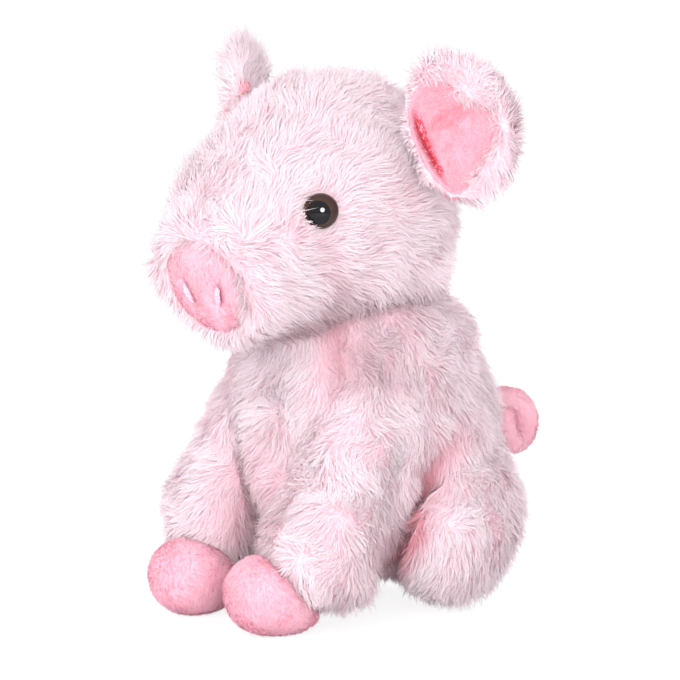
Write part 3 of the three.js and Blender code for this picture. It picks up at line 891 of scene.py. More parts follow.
class ShortPileProperties(bpy.types.PropertyGroup):
    """The brushed pile of snout, hooves, ear linings and tail."""

    reach: length("Length", "Length of a fibre", 1.6 * MM)
    width: length("Width", "Width of a fibre at its root", 0.3 * MM)
    density: share("Density", "Fibres to a square centimetre", 420.0)
    lift: share("Lift", "Angle of a fibre over the cloth at its root, in radians", 0.65)
    settle: share("Settle", "Share of that angle left at the tip", 0.35)
    scatter: share("Scatter", "How much that angle varies", 0.3)
    wander: share("Wander", "How far the lie of the pile wanders", 0.9)
    frizz: share("Frizz", "How far single fibres stray", 0.3)
    droop: share("Droop", "Pull of gravity on the tips", 0.1)
    tuft: share("Tuft", "Fibres in a tuft", 7.0)
    gather: share("Gather", "How closely the tips of a tuft meet", 0.3)
    twist: share("Twist", "How far ribbons turn about their length", 0.5)
    root: colour("Root colour", "Colour in the depth of the pile", (0.94, 0.5, 0.61))
    tip: colour("Tip colour", "Colour of the tips", (0.98, 0.585, 0.67))
    glow: colour("Light tips", "Colour of the palest fibres", (0.985, 0.675, 0.75))
    # Painted shade round the nostrils and low on the snout; also a deeper pink on the hooves, most
    # towards the ankle
    crease: colour("Crease colour", "Colour in the seams", (0.85, 0.2, 0.36))
    # Painted shade in the groove by the head and the fold across each ear's lining
    lining_crease: colour("Lining crease", "Colour in the ears' creases", (0.82, 0.08, 0.12))
    lining_root: colour("Lining root", "Depth colour in the ears", (0.94, 0.34, 0.44))
    lining_tip: colour("Lining tip", "Tip colour in the ears", (0.98, 0.49, 0.575))


class FaceProperties(bpy.types.PropertyGroup):
    """The moulded eyes and the stitched nostrils."""

    iris: colour("Iris", "Colour of the ring", (0.055, 0.03, 0.018))
    edge: colour("Iris edge", "Colour at the rim of the eye", (0.04, 0.012, 0.012))
    pupil: colour("Pupil", "Colour of the pupil", (0.004, 0.004, 0.006))
    gaze: share("Gaze", "How far the pupil lies ahead and down, as a share of the radius", 0.16)
    turns: IntProperty(name="Threads", description="Threads in a nostril's stitch", default=9)
    thread: length("Thread", "Thickness of a stitch's thread", 0.34 * MM)
    satin: colour("Thread colour", "Light side of the thread", (0.97, 0.8, 0.88))
    shade: colour("Thread shade", "Shaded side of the thread", (0.7, 0.3, 0.5))


class StageProperties(bpy.types.PropertyGroup):
    """Camera, floor and lamps."""

    azimuth: share("Azimuth", "Camera's angle round the pig, in degrees", 49.0)
    elevation: share("Elevation", "Camera's angle over the floor, in degrees", 8.0)
    distance: length("Distance", "Camera's distance from what it looks at", 1.2)
    lens: share("Lens", "Focal length in millimetres on a 36 mm sensor", 179.0)
    world: share("World", "Strength of the light from all round", 0.66)
    key: share("Key lamp", "Power of the large soft lamp, in watts", 8.6)
    fill: share("Fill lamp", "Power of the lamp about the camera, in watts", 5.0)
    rear: share("Rear lamps", "Power of each lamp behind the pig, in watts", 6.0)
    catch: share("Catch light", "Power of the lamp that only gloss shows, in watts", 9.0)
    floor: colour("Floor", "Colour of the floor", (0.9, 0.88, 0.89))
    glow: share("Floor glow", "Brightness that the camera sees added to the floor", 1.2)


class PigProperties(bpy.types.PropertyGroup):
    """All that can be set about the plush pig."""

    long_pile: PointerProperty(type=LongPileProperties)
    short_pile: PointerProperty(type=ShortPileProperties)
    face: PointerProperty(type=FaceProperties)
    stage: PointerProperty(type=StageProperties)


def settings():
    return bpy.context.scene.plush_pig


# The finishes that several pieces share: how each is made, and the settings that colour it
SHARED_FINISHES = {
    "long pile": (pile_finish, "long_pile", ("root", "tip", "glow", "crease", "painted_shade")),
    "pile backing": (backing_finish, "long_pile", ("backing", "root")),
    "short pile fibres": (pile_finish, "short_pile", ("root", "tip", "glow", "crease", "crease")),
    "short pile cloth": (short_pile_finish, "short_pile", ("tip", "root")),
    "lining fibres": (
        pile_finish,
        "short_pile",
        ("lining_root", "lining_tip", "tip", "lining_crease", "lining_root"),
    ),
    "lining cloth": (short_pile_finish, "short_pile", ("lining_tip", "lining_root")),
}


def shared_finish(name):
    """A finish that several pieces share, made once."""
    if name not in bpy.data.materials:
        make, group, colours = SHARED_FINISHES[name]
        make(name, *(getattr(getattr(settings(), group), entry) for entry in colours))
    return bpy.data.materials[name]


# Covers

# The size of the faces of the furry pieces' cloth
CLOTH_VOXEL = 2.0 * MM


def outer_form(name, node, smoothing):
    """The taut form round a solid, with its facets smoothed."""
    return remeshed(hull(name, node_points(node)), CLOTH_VOXEL, smoothing)


# Where the filling swells the head or leaves a hollow: its middle aside, back and up from the
# neck, its reach and its rise, in millimetres and alike on both sides
HEAD_FORMS = {
    "hollow over the muzzle": ((18, -58, 72), 14, -8.0),
    "bridge": ((13, -68, 61), 9, -5.5),
    "side of the muzzle": ((23, -70, 44), 9, 3.0),
    "low side of the muzzle": ((21, -66, 34), 14, 4.0),
    "chin": ((4, -61, 22), 13, 4.0),
    "puff before the eye": ((25, -58, 52), 8, 3.5),
    "crease under the cheek": ((31, -40, 44), 8, -2.0),
    "cheek": ((30, -18, 42), 14, 3.0),
    "nape": ((24, 16, 55), 18, 4.0),
    "low nape": ((28, 6, 38), 12, 6.5),
    "crown": ((10, -26, 104), 14, 3.0),
}

# The same for the torso and the legs, from the floor between the front legs' hinges
TORSO_FORMS = {
    "chest over the legs": ((14, -26, 70), 13, 4.5),
    "shoulder": ((29, -19, 84), 12, 9.0),
    "flank over the elbow": ((38, -2, 68), 16, 5.0),
    "flank behind the elbow": ((36, -2, 45), 12, 5.0),
    "flank over the haunch": ((40, 30, 58), 14, 7.0),
    "upper back": ((18, 42, 100), 12, 1.5),
    "under the belly": ((10, 14, 4), 18, -8.0),
    "between the front legs": ((0, -25, 48), 14, 7.0),
}
FRONT_LEG_FORMS = {
    "shoulder": ((30, -24, 73), 14, 4.0),
    "back of the ankle": ((34, -20, 18), 11, 4.0),
    "inside of the ankle": ((11, -44, 32), 12, 2.5),
    "shin": ((39, -37, 40), 12, 2.8),
}
HIND_LEG_FORMS = {
    "rump": ((31, 52, 47), 13, 6.0),
    "top of the rump": ((27, 52, 55), 9, 5.0),
    "under the haunch": ((26, 14, 3), 15, 1.2),
}

# The creases between flank and haunch and under the throat, in the same millimetres; these,
# the haunch's front edge, the hollow under the belly and the cheek's crease get painted shade
HAUNCH_CREASE = ((38, 22, 67), (38, 15, 60), (35, 13, 50), (31, 13, 38), (24, 14, 26), (17, 16, 16))
HAUNCH_EDGE = ((36, 8, 38), (34, 5, 30), (28, 6, 20), (20, 8, 12))
THROAT_CREASE = ((20, -18, 104), (22, -19, 94), (26, -20, 80))
BELLY_HOLLOW = ((27, 15, 42), (20, 15, 24), (2, 29, 9))
CHEEK_CREASE = ((28, -53, 55), (29, -48, 46), (27, -40, 35))

# How far the head's cloth is cut away behind the snout's disc, and how far back its rim reaches
SNOUT_DEPTH = 14.0 * MM
RIM_DEPTH = 12.0 * MM

# Places where the pile gets painted shade, a deeper or a greyer pink, or painted light on the chest,
# each with its reach, in those millimetres
UNDER_THE_EAR = ((37, -16, 66), 9.0)
COLLAR_SHADE = ((30, -14, 98), 18.0)
CHEST_PAINTED_LIGHT = ((7, -27, 84), 16.0)
BETWEEN_THE_LEGS = ((2, -28, 54), 18.0)
BEHIND_THE_ELBOW = ((30, -2, 22), 15.0)
BACK_OF_THE_SHIN = ((32, -14, 30), 14.0)


def swollen(local, forms):
    """How far each place is pushed outward by some swellings, in metres."""
    folded = both_sides(local)
    return sum(height * MM * about(folded, middle, reach) for middle, reach, height in forms.values())


def crease_nearness(local, reach):
    """1 in the creases of the torso, falling to 0 on both sides of them."""
    haunch = near(from_line(local, HAUNCH_CREASE), reach)
    haunch = haunch * (1.0 - 0.6 * ramp(local[:, 2], 54.0, 70.0))
    return np.maximum(haunch, 0.55 * near(from_line(local, THROAT_CREASE), reach))


class PIG_OT_torso_cover(bpy.types.Operator):
    """The torso's cloth"""

    bl_idname = "plush_pig.torso_cover"
    bl_label = "Torso cover"

    def execute(self, context):
        cover = outer_form("torso_cloth", "torso_cover", 14)
        drawn_in(cover, settings().long_pile.inset)
        places = read_points(cover.data)
        local = BodyFrame().local(places)
        rise = swollen(local, TORSO_FORMS) - 6.0 * MM * crease_nearness(local, 4.5)
        rise += 3.5 * MM * near(local[:, 2] - 103.0, 8.0) * (1.0 - ramp(local[:, 1], 0.0, 25.0))
        moved(cover, places + read_normals(cover.data) * rise[:, None])
        finished(cover, "torso", shared_finish("pile backing"), ["torso_cover"])
        return {"FINISHED"}


class PIG_OT_head_cover(bpy.types.Operator):
    """The head's cloth, with sockets for the eyes and full cheeks"""

    bl_idname = "plush_pig.head_cover"
    bl_label = "Head cover"

    def execute(self, context):
        inset = settings().long_pile.inset
        cover = outer_form("head_cloth", "head_cover", 12)
        places = read_points(cover.data)
        normals = read_normals(cover.data)
        head = HeadFrame()
        depth = np.full(len(places), inset)
        for side in SIDES:
            depth += 2.2 * MM * about(places, EyeFrame(side).seat, 9.0 * MM)
        snout = SnoutFrame()
        ahead, aside = snout.split(places)
        over = ramp(aside, snout.radius - 4.0 * MM, snout.radius)
        around = np.where(ahead > -SNOUT_DEPTH, over, 1.0)
        rim = snout.rim(places, SNOUT_DEPTH) * around
        swell = swollen(head.local(places), HEAD_FORMS) * around
        depth += (1.0 - around) * MM - np.maximum(swell, (inset - 0.8 * MM) * rim)
        places = places - normals * depth[:, None]
        neck = node_points("neck_seam")
        ball = np.linalg.norm(neck - head.pivot, axis=1).max() + 3.0 * MM
        reach = places - head.pivot
        far = np.linalg.norm(reach, axis=1, keepdims=True)
        places = np.where(far < ball, head.pivot + reach * (ball / np.maximum(far, 1e-6)), places)
        moved(cover, places)
        finished(cover, "head", shared_finish("pile backing"), ["head_cover"])
        return {"FINISHED"}


class PIG_OT_leg_covers(bpy.types.Operator):
    """The cloth of the front and hind legs"""

    bl_idname = "plush_pig.leg_covers"
    bl_label = "Leg covers"

    def execute(self, context):
        inset = settings().long_pile.inset
        body = BodyFrame()
        torso = bpy.data.objects["torso_cloth"]
        limbs = (
            ("front_leg", FRONT_LEG_FORMS, 58.0, 88.0),
            ("hind_leg", HIND_LEG_FORMS, 32.0, 62.0),
        )
        for limb, forms, low, high in limbs:
            for side in SIDES:
                node = f"{limb}_cover_{side}"
                cover = outer_form(f"{limb}_cloth_{side}", node, 14)
                local = body.local(read_points(cover.data))
                drawn_in(cover, inset - swollen(local, forms))
                self.sink(cover, torso, ramp(local[:, 2], low, high))
                finished(cover, f"{limb}_{side}", shared_finish("pile backing"), [node])
        return {"FINISHED"}

    def sink(self, cover, torso, shares):
        """Draws the top of a limb towards the torso, so that one runs into the other."""
        tree = surface_tree(torso.data)
        places = read_points(cover.data)
        outside = depth_inside(places, torso) == 0.0
        for i in np.flatnonzero(outside & (shares > 0.0)):
            nearest = np.array(tree.find_nearest(Vector(places[i]))[0])
            places[i] = nearest + (places[i] - nearest) * (1.0 - 0.94 * shares[i])
        moved(cover, places)
        softened(cover, 4)


class PIG_OT_ear_covers(bpy.types.Operator):
    """The furry leaves of the ears"""

    bl_idname = "plush_pig.ear_covers"
    bl_label = "Ear covers"

    def execute(self, context):
        for side in SIDES:
            node = f"ear_panel_{side}"
            ear = EarFrame(side)
            mesh = frame["nodes"][node].data.copy()
            cover = remeshed(linked(f"ear_cloth_{side}", mesh), 1.1 * MM, 8)
            facing = read_normals(cover.data) @ ear.front
            drawn_in(cover, 1.2 * MM)
            flat = ear.local(read_points(cover.data))
            reach = ear.lining_reach(flat)
            rim = np.hypot(flat[:, 0] / ear.half_out, flat[:, 1] / ear.half_up)
            outside = np.clip((reach - 1.0) / np.maximum(reach - 1.0 + 1.0 - rim, 0.05), 0.0, 1.0)
            roll = np.sin(math.pi * outside**0.8) * (facing > 0.0) * (reach > 1.0)
            drawn = np.where(flat[:, 1] > 0.0, 3.8, 2.4) * MM
            flat[:, 2] += 3.4 * MM * roll
            flat[:, 0] *= 1.0 - 1.4 * MM / ear.half_out
            flat[:, 1] *= 1.0 - drawn / ear.half_up
            moved(cover, ear.middle + ear.place(*flat.T))
            softened(cover, 6)
            finished(cover, f"ear_{side}", shared_finish("pile backing"), [node])
        return {"FINISHED"}


# Pile on the covers


def named(*names):
    return [bpy.data.objects[name] for name in names]


class PIG_OT_torso_pile(bpy.types.Operator):
    """The torso's long pile, which falls from the neck"""

    bl_idname = "plush_pig.torso_pile"
    bl_label = "Torso pile"

    def execute(self, context):
        props = settings().long_pile
        cover = Cover(bpy.data.objects["torso_cloth"])
        limbs = (f"{limb}_cloth_{side}" for limb in ("front_leg", "hind_leg") for side in SIDES)
        weights = shown_weights(cover, named("head_cloth", *limbs), 3.0 * MM, 7.0 * MM)
        body = BodyFrame()

        def flow(roots, normals):
            return -UP + 0.25 * normals * np.array([1.0, 1.0, 0.0])

        def lengths(roots):
            crease = crease_nearness(body.local(roots), 6.5)
            return props.reach * (0.9 + 0.12 * Ripple(5, 30.0 * MM)(roots) - 0.5 * crease)

        # Painted shade in the haunch and throat creases, between the front legs, in the hollow under
        # the belly, behind the elbow and under the collar; painted light on the chest, which the head
        # shades
        def shade(roots):
            local = body.local(roots)
            collar_shade = about(local, *COLLAR_SHADE)
            folds = 0.85 * crease_nearness(local, 6.0) + 0.3 * about(local, *BETWEEN_THE_LEGS)
            folds += 0.35 * near(from_line(local, BELLY_HOLLOW), 9.0)
            folds += 0.3 * about(local, *BEHIND_THE_ELBOW) - 0.3 * about(local, *CHEST_PAINTED_LIGHT)
            return np.clip(folds + 0.18 * collar_shade, -0.3, 1.0), 0.62 * collar_shade

        pile = Pile(props, 11)
        for piece in pile.grow("torso_pile", cover, weights, flow, lengths, shade=shade):
            finished(piece, "torso", shared_finish("long pile"))
        return {"FINISHED"}


class PIG_OT_head_pile(bpy.types.Operator):
    """The head's long pile, brushed back from the snout and out from the eyes"""

    bl_idname = "plush_pig.head_pile"
    bl_label = "Head pile"

    def execute(self, context):
        props = settings().long_pile
        head = HeadFrame()
        eyes = [EyeFrame(side) for side in SIDES]
        cover = Cover(bpy.data.objects["head_cloth"])
        weights = shown_weights(cover, named("torso_cloth"), 3.0 * MM, 6.0 * MM)
        snout = SnoutFrame()
        ahead, aside = snout.split(cover.places)
        weights *= 1.0 - (aside < snout.radius - 1.0 * MM) * (ahead > -SNOUT_DEPTH)
        for eye in eyes:
            gap = np.linalg.norm(cover.places - eye.seat, axis=1)
            weights *= ramp(gap, eye.radius - 1.0 * MM, eye.radius + 1.5 * MM)

        def flow(roots, normals):
            local = head.local(roots)
            way = unit(roots - snout.middle - snout.way * 32.0 * MM)
            low = ramp(-local[:, 2], -62.0, -25.0)[:, None]
            behind = ramp(local[:, 1], -20.0, 25.0)[:, None]
            way = way - UP * (0.75 * low + 1.0 * behind)
            for eye in eyes:
                gap = roots - eye.seat
                behind_eye = ramp(unit(gap) @ unit(eye.seat - snout.middle), -0.5, 0.3)
                spread = near(np.linalg.norm(gap, axis=1), 11.0 * MM) * behind_eye
                way = way + 1.2 * unit(gap) * spread[:, None]
            return way

        def lengths(roots):
            scale = 0.92 + 0.1 * Ripple(6, 26.0 * MM)(roots)
            for eye in eyes:
                gap = roots - eye.seat
                before = ramp(-unit(gap) @ unit(eye.seat - snout.middle), -0.1, 0.6)
                shorter = 0.5 - 0.65 * before
                scale = scale * (1.0 - shorter * near(np.linalg.norm(gap, axis=1), 10.0 * MM))
            local = head.local(roots)
            low = ramp(-local[:, 2], -44.0, -24.0) * ramp(local[:, 1], -52.0, -36.0)
            scale *= 1.0 - 0.25 * snout.rim(roots, RIM_DEPTH) - 0.08 * bridge(roots) + 0.35 * low
            return props.reach * scale * (1.0 + 0.9 * hood(roots))

        def lift(roots):
            raised = 0.3 * snout.rim(roots, RIM_DEPTH) + 0.3 * hood(roots)
            return props.lift + raised - 0.45 * bridge(roots)

        def hood(roots):
            far_eye = eyes[SIDES.index("right")].seat
            inner = ramp((roots - far_eye) @ head.aside / MM, 1.0, 6.0)
            return about(roots, far_eye, 15.0 * MM) * inner

        def bridge(roots):
            beside = np.max([about(roots, eye.seat, 15.0 * MM) for eye in eyes], axis=0)
            return about(head.local(roots) * [0.5, 1, 1], [0, -55, 75], 25.0) * (1.0 - beside)

        # Painted shade: deeper pink in the cheek's crease and under the ear, and a grey pink under
        # the jaw and on the cheek's crease
        def shade(roots):
            local = head.local(roots)
            folded = both_sides(local)
            jaw_shade = ramp(-local[:, 2], -46.0, -20.0) * ramp(local[:, 1], -62.0, -44.0)
            cheek = near(from_line(folded, CHEEK_CREASE), 5.0)
            crease = 0.15 * cheek + 0.12 * about(folded, *UNDER_THE_EAR)
            return crease, np.clip(0.95 * jaw_shade + 0.25 * cheek, 0.0, 1.0)

        pile = Pile(props, 21)
        for piece in pile.grow("head_pile", cover, weights, flow, lengths, lift, shade=shade):
            finished(piece, "head", shared_finish("long pile"))
        return {"FINISHED"}


class PIG_OT_leg_pile(bpy.types.Operator):
    """The legs' long pile, which falls towards the hooves"""

    bl_idname = "plush_pig.leg_pile"
    bl_label = "Leg pile"

    def execute(self, context):
        props = settings().long_pile
        for number, limb in enumerate(("front_leg", "hind_leg")):
            for side in SIDES:
                self.grow_on(props, limb, side, 31 + 10 * number + SIDES.index(side))
        return {"FINISHED"}

    def grow_on(self, props, limb, side, seed):
        cover = Cover(bpy.data.objects[f"{limb}_cloth_{side}"])
        others = named("torso_cloth")
        if limb == "front_leg":
            others += named(f"front_hoof_{side}_cloth")
        weights = shown_weights(cover, others, 4.0 * MM, 8.0 * MM)
        top = np.array(joint(f"{limb}_{side}_swing")["pos_m"])
        foot = node_points(f"front_hoof_{side}").mean(axis=0)
        if limb == "hind_leg":
            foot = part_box(f"hind_leg_cover_{side}")[0]
            foot = np.array([top[0], foot[1] + 12.0 * MM, 0.0])
        way = unit(foot - top)
        bottom = cover.places[:, 2].min()
        body = BodyFrame()

        def flow(roots, normals):
            high = ramp(roots[:, 2], 0.5 * top[2], top[2])[:, None]
            return way * (1.0 - high) - UP * high

        def lengths(roots):
            local = body.local(roots)
            low = near(roots[:, 2] - bottom, 14.0 * MM)
            tuft = ramp(local[:, 1], -34.0, -22.0) if limb == "front_leg" else 0.3
            ripple = 0.12 * Ripple(7, 24.0 * MM)(roots)
            under = near(roots[:, 2] - bottom, 5.0 * MM)
            return props.reach * (0.9 + ripple + low * (0.7 * tuft - 0.2)) * (1.0 - 0.3 * under)

        # Painted shade: deeper pink in the haunch's crease and along its front edge, on the legs'
        # inner sides and at the back of the shin
        def shade(roots):
            local = body.local(roots)
            crease = np.zeros(len(roots))
            if limb == "hind_leg":
                edge = near(from_line(local, HAUNCH_EDGE), 5.0)
                crease = np.maximum(crease_nearness(local, 5.0), 0.8 * edge)
            inner = near(local[:, 0] - 8.0, 9.0) * near(local[:, 2] - 40.0, 22.0)
            crease = crease + 0.35 * inner + 0.3 * about(local, *BACK_OF_THE_SHIN)
            return np.clip(crease, 0.0, 1.0), np.zeros(len(roots))

        pile = Pile(props, seed)
        name = f"{limb}_pile_{side}"
        for piece in pile.grow(name, cover, weights, flow, lengths, shade=shade):
            finished(piece, f"{limb}_{side}", shared_finish("long pile"))


class PIG_OT_ear_pile(bpy.types.Operator):
    """The ears' long pile, on their backs and round their rims"""

    bl_idname = "plush_pig.ear_pile"
    bl_label = "Ear pile"

    def execute(self, context):
        for side in SIDES:
            self.grow_on(settings().long_pile, side)
        return {"FINISHED"}

    def grow_on(self, props, side):
        """Pile that leaves the left lining open, and is fuller and closer on the right ear."""
        ear = EarFrame(side)
        open_ear = side == "left"
        cover = Cover(bpy.data.objects[f"ear_cloth_{side}"])
        weights = shown_weights(cover, named("head_cloth"), 2.0 * MM, 5.0 * MM)
        reach = ear.lining_reach(ear.local(cover.places))
        facing = cover.normals @ ear.front > 0.0
        weights *= 1.0 - (reach < 1.0) * facing

        def flow(roots, normals):
            flat = ear.local(roots)
            away = ear.lining_reach(flat)
            front = normals @ ear.front > 0.2
            by_head = ramp(-flat[:, 0] / ear.half_out, 0.3, 0.6) * open_ear
            inward = ((1.0 - ramp(away, 1.05, 1.3)) * front * (1.0 - by_head))[:, None]
            outward = unit(roots - ear.middle)
            return unit(roots - ear.root) * 0.5 + outward * (1.0 - 1.3 * inward) - 0.2 * UP

        def lengths(roots):
            flat = ear.local(roots)
            rim = ramp(ear.lining_reach(flat), 1.0, 1.3)
            out, up = (flat[:, :2] / [ear.half_out, ear.half_up]).T
            corner = ramp(-out, -0.1, 0.5) * ramp(up, 0.3, 0.7) * rim
            end = ramp(-up, 0.6, 0.9) * rim * ramp(-out, -0.2, 0.2)
            side_rim = ramp(out, 0.5, 0.9) * ramp(up, -0.1, 0.3) * rim
            fold = ramp(-out, 0.35, 0.6) * (1.0 - ramp(up, 0.4, 0.6)) * (flat[:, 2] > 0.0)
            ripple = 0.08 * Ripple(8, 18.0 * MM)(roots)
            fuller = 0.0 if open_ear else 0.05 + 0.4 * ramp(up, 0.0, 0.8)
            scale = 0.42 + ripple + 0.2 * (rim + side_rim) + 0.75 * corner + 0.5 * end + fuller
            return props.reach * scale * (1.0 - (0.6 if open_ear else -0.3) * fold)

        # Painted shade: grey on the left ear, most on its outer side; painted light on the right ear,
        # whose fibres turn pale close to the root
        def shade(roots):
            out = ear.local(roots)[:, 0] / ear.half_out
            if open_ear:
                return np.zeros(len(roots)), 0.28 + 0.4 * ramp(out, 0.45, 0.9)
            return np.full(len(roots), -0.5), np.zeros(len(roots))

        pile = Pile(props, 51 + SIDES.index(side))
        name = f"ear_pile_{side}"
        for piece in pile.grow(name, cover, weights, flow, lengths, density=1.2, shade=shade):
            finished(piece, f"ear_{side}", shared_finish("long pile"))


# Short pile pieces

# How much plumper the tail's cloth is than its solid, and tighter the neck's seam, each way, and
# how much smaller a filling is than its cover
TAIL_PLUMPNESS = np.array([1.08, 1.08, 1.04])
SEAM_TIGHTNESS = np.array([0.84, 0.84, 0.94])
FILLING_SHARE = 0.86

# The light and the dark colour of what never shows
FILLING_COLOURS = ((0.93, 0.92, 0.9), (0.8, 0.79, 0.77))
WASHER_COLOURS = ((0.75, 0.73, 0.7), (0.66, 0.64, 0.6))


def fuzz(name, body, cloth, material, seed, shade=None):
    """Short fibres all over a piece of short pile cloth."""
    props = settings().short_pile
    cover = Cover(cloth)
    weights = np.ones(len(cover.places))

    def flow(roots, normals):
        return -UP + 0.3 * normals

    def lengths(roots):
        return np.full(len(roots), props.reach)

    pile = Pile(props, seed, segments=2)
    for piece in pile.grow(name, cover, weights, flow, lengths, shade=shade):
        finished(piece, body, shared_finish(material))


class PIG_OT_hooves(bpy.types.Operator):
    """The short-pile hooves"""

    bl_idname = "plush_pig.hooves"
    bl_label = "Hooves"

    def execute(self, context):
        for side in SIDES:
            node = f"front_hoof_{side}"
            body = f"front_leg_{side}"
            cloth = outer_form(f"{node}_cloth", node, 24)
            drawn_in(cloth, -0.4 * MM)
            finished(cloth, body, shared_finish("short pile cloth"), [node])
            ankle = node_points(f"front_leg_cover_{side}").mean(axis=0)
            middle = node_points(node).mean(axis=0)

            # The hooves' fibres turn a deeper pink all over, and deeper still towards the ankle
            def shade(roots, way=unit(ankle - middle), middle=middle):
                seam = ramp((roots - middle) @ way, 7.0 * MM, 13.0 * MM)
                return 0.27 + 0.3 * seam, 0.0 * seam

            fuzz(f"{node}_pile", body, cloth, "short pile fibres", 61 + SIDES.index(side), shade)
        return {"FINISHED"}


class PIG_OT_tail(bpy.types.Operator):
    """The curled tail"""

    bl_idname = "plush_pig.tail"
    bl_label = "Tail"

    def execute(self, context):
        mesh = frame["nodes"]["tail"].data.copy()
        cloth = remeshed(linked("tail_cloth", mesh), 0.8 * MM, 5)
        root = np.array(joint("tail_wag")["pos_m"])
        moved(cloth, root + (read_points(cloth.data) - root) * TAIL_PLUMPNESS)
        finished(cloth, "tail", shared_finish("short pile cloth"), ["tail"])
        fuzz("tail_pile", "tail", cloth, "short pile fibres", 71)
        return {"FINISHED"}


class PIG_OT_snout(bpy.types.Operator):
    """The short-pile snout, drawn in where the nostrils are stitched"""

    bl_idname = "plush_pig.snout"
    bl_label = "Snout"

    def execute(self, context):
        cloth = remeshed(hull("snout_cloth", node_points("snout_panel")), 0.9 * MM, 8)
        drawn_in(cloth, 1.6 * MM * self.slit_nearness(read_points(cloth.data), 2.6 * MM))
        finished(cloth, "head", shared_finish("short pile cloth"), ["snout_panel"])
        head = HeadFrame()

        # Painted shade: deeper pink in the grooves round the nostrils and low on the snout
        def shade(roots):
            low = ramp(-head.local(roots)[:, 2], -36.0, -22.0)
            crease = 0.7 * self.slit_nearness(roots, 1.9 * MM) + 0.08 + 0.25 * low
            return np.clip(crease, 0.0, 1.0), 0.0 * low

        fuzz("snout_pile", "head", cloth, "short pile fibres", 81, shade)
        return {"FINISHED"}

    def slit_nearness(self, places, width):
        """1 at the nostrils' slits, falling to 0 beside them."""
        nearness = np.zeros(len(places))
        for side in SIDES:
            middle, ways = main_axes(node_points(f"nostril_stitch_{side}"))
            gap = places - middle
            reach = gap @ ways[0]
            aside = np.linalg.norm(gap - np.outer(reach, ways[0]), axis=1)
            past = np.maximum(0.0, np.abs(reach) - 3.0 * MM)
            nearness += near(np.hypot(aside, past), width)
        return nearness


class PIG_OT_nostrils(bpy.types.Operator):
    """The satin-stitched nostrils, each a fan of threads"""

    bl_idname = "plush_pig.nostrils"
    bl_label = "Nostrils"

    def execute(self, context):
        props = settings().face
        material = thread_finish("satin thread", props.satin, props.shade, 900.0)
        head = HeadFrame()
        for side in SIDES:
            node = f"nostril_stitch_{side}"
            middle, ways = main_axes(node_points(node))
            tall = ways[0] * np.sign(ways[0][2])
            outward = unit(head.snout - head.pivot - UP * 0.05)
            wide = unit(np.cross(tall, outward))
            outward = unit(np.cross(wide, tall))
            half = np.ptp((node_points(node) - middle) @ tall) / 2.0
            threads = bpy.data.curves.new(node + "_threads", "CURVE")
            threads.dimensions = "3D"
            threads.bevel_depth = props.thread / 2.0
            threads.bevel_resolution = 2
            for i in range(props.turns):
                place = (i / (props.turns - 1) - 0.5) * 2.0
                reach = half * math.sqrt(max(0.05, 1.0 - 0.55 * place * place))
                line = threads.splines.new("POLY")
                line.points.add(8)
                for k in range(9):
                    along_line = (k / 8 - 0.5) * 2.0
                    rise = 0.9 * MM * (1.0 - along_line**4) - 0.45 * MM * place * place
                    spot = (
                        middle
                        + tall * along_line * reach
                        + wide * place * 1.25 * MM * (1.0 - 0.45 * along_line**2)
                        + outward * rise
                    )
                    line.points[k].co = (*spot, 1.0)
            piece = settled_curve(node + "_threads", threads)
            finished(piece, "head", material, [node])
        return {"FINISHED"}


def settled_curve(name, curve):
    """A curve with its thickness, turned into a mesh."""
    holder = linked(name + "_line", curve)
    graph = bpy.context.evaluated_depsgraph_get()
    mesh = bpy.data.meshes.new_from_object(holder.evaluated_get(graph))
    bpy.data.objects.remove(holder)
    shade_smooth(mesh)
    return linked(name, mesh)


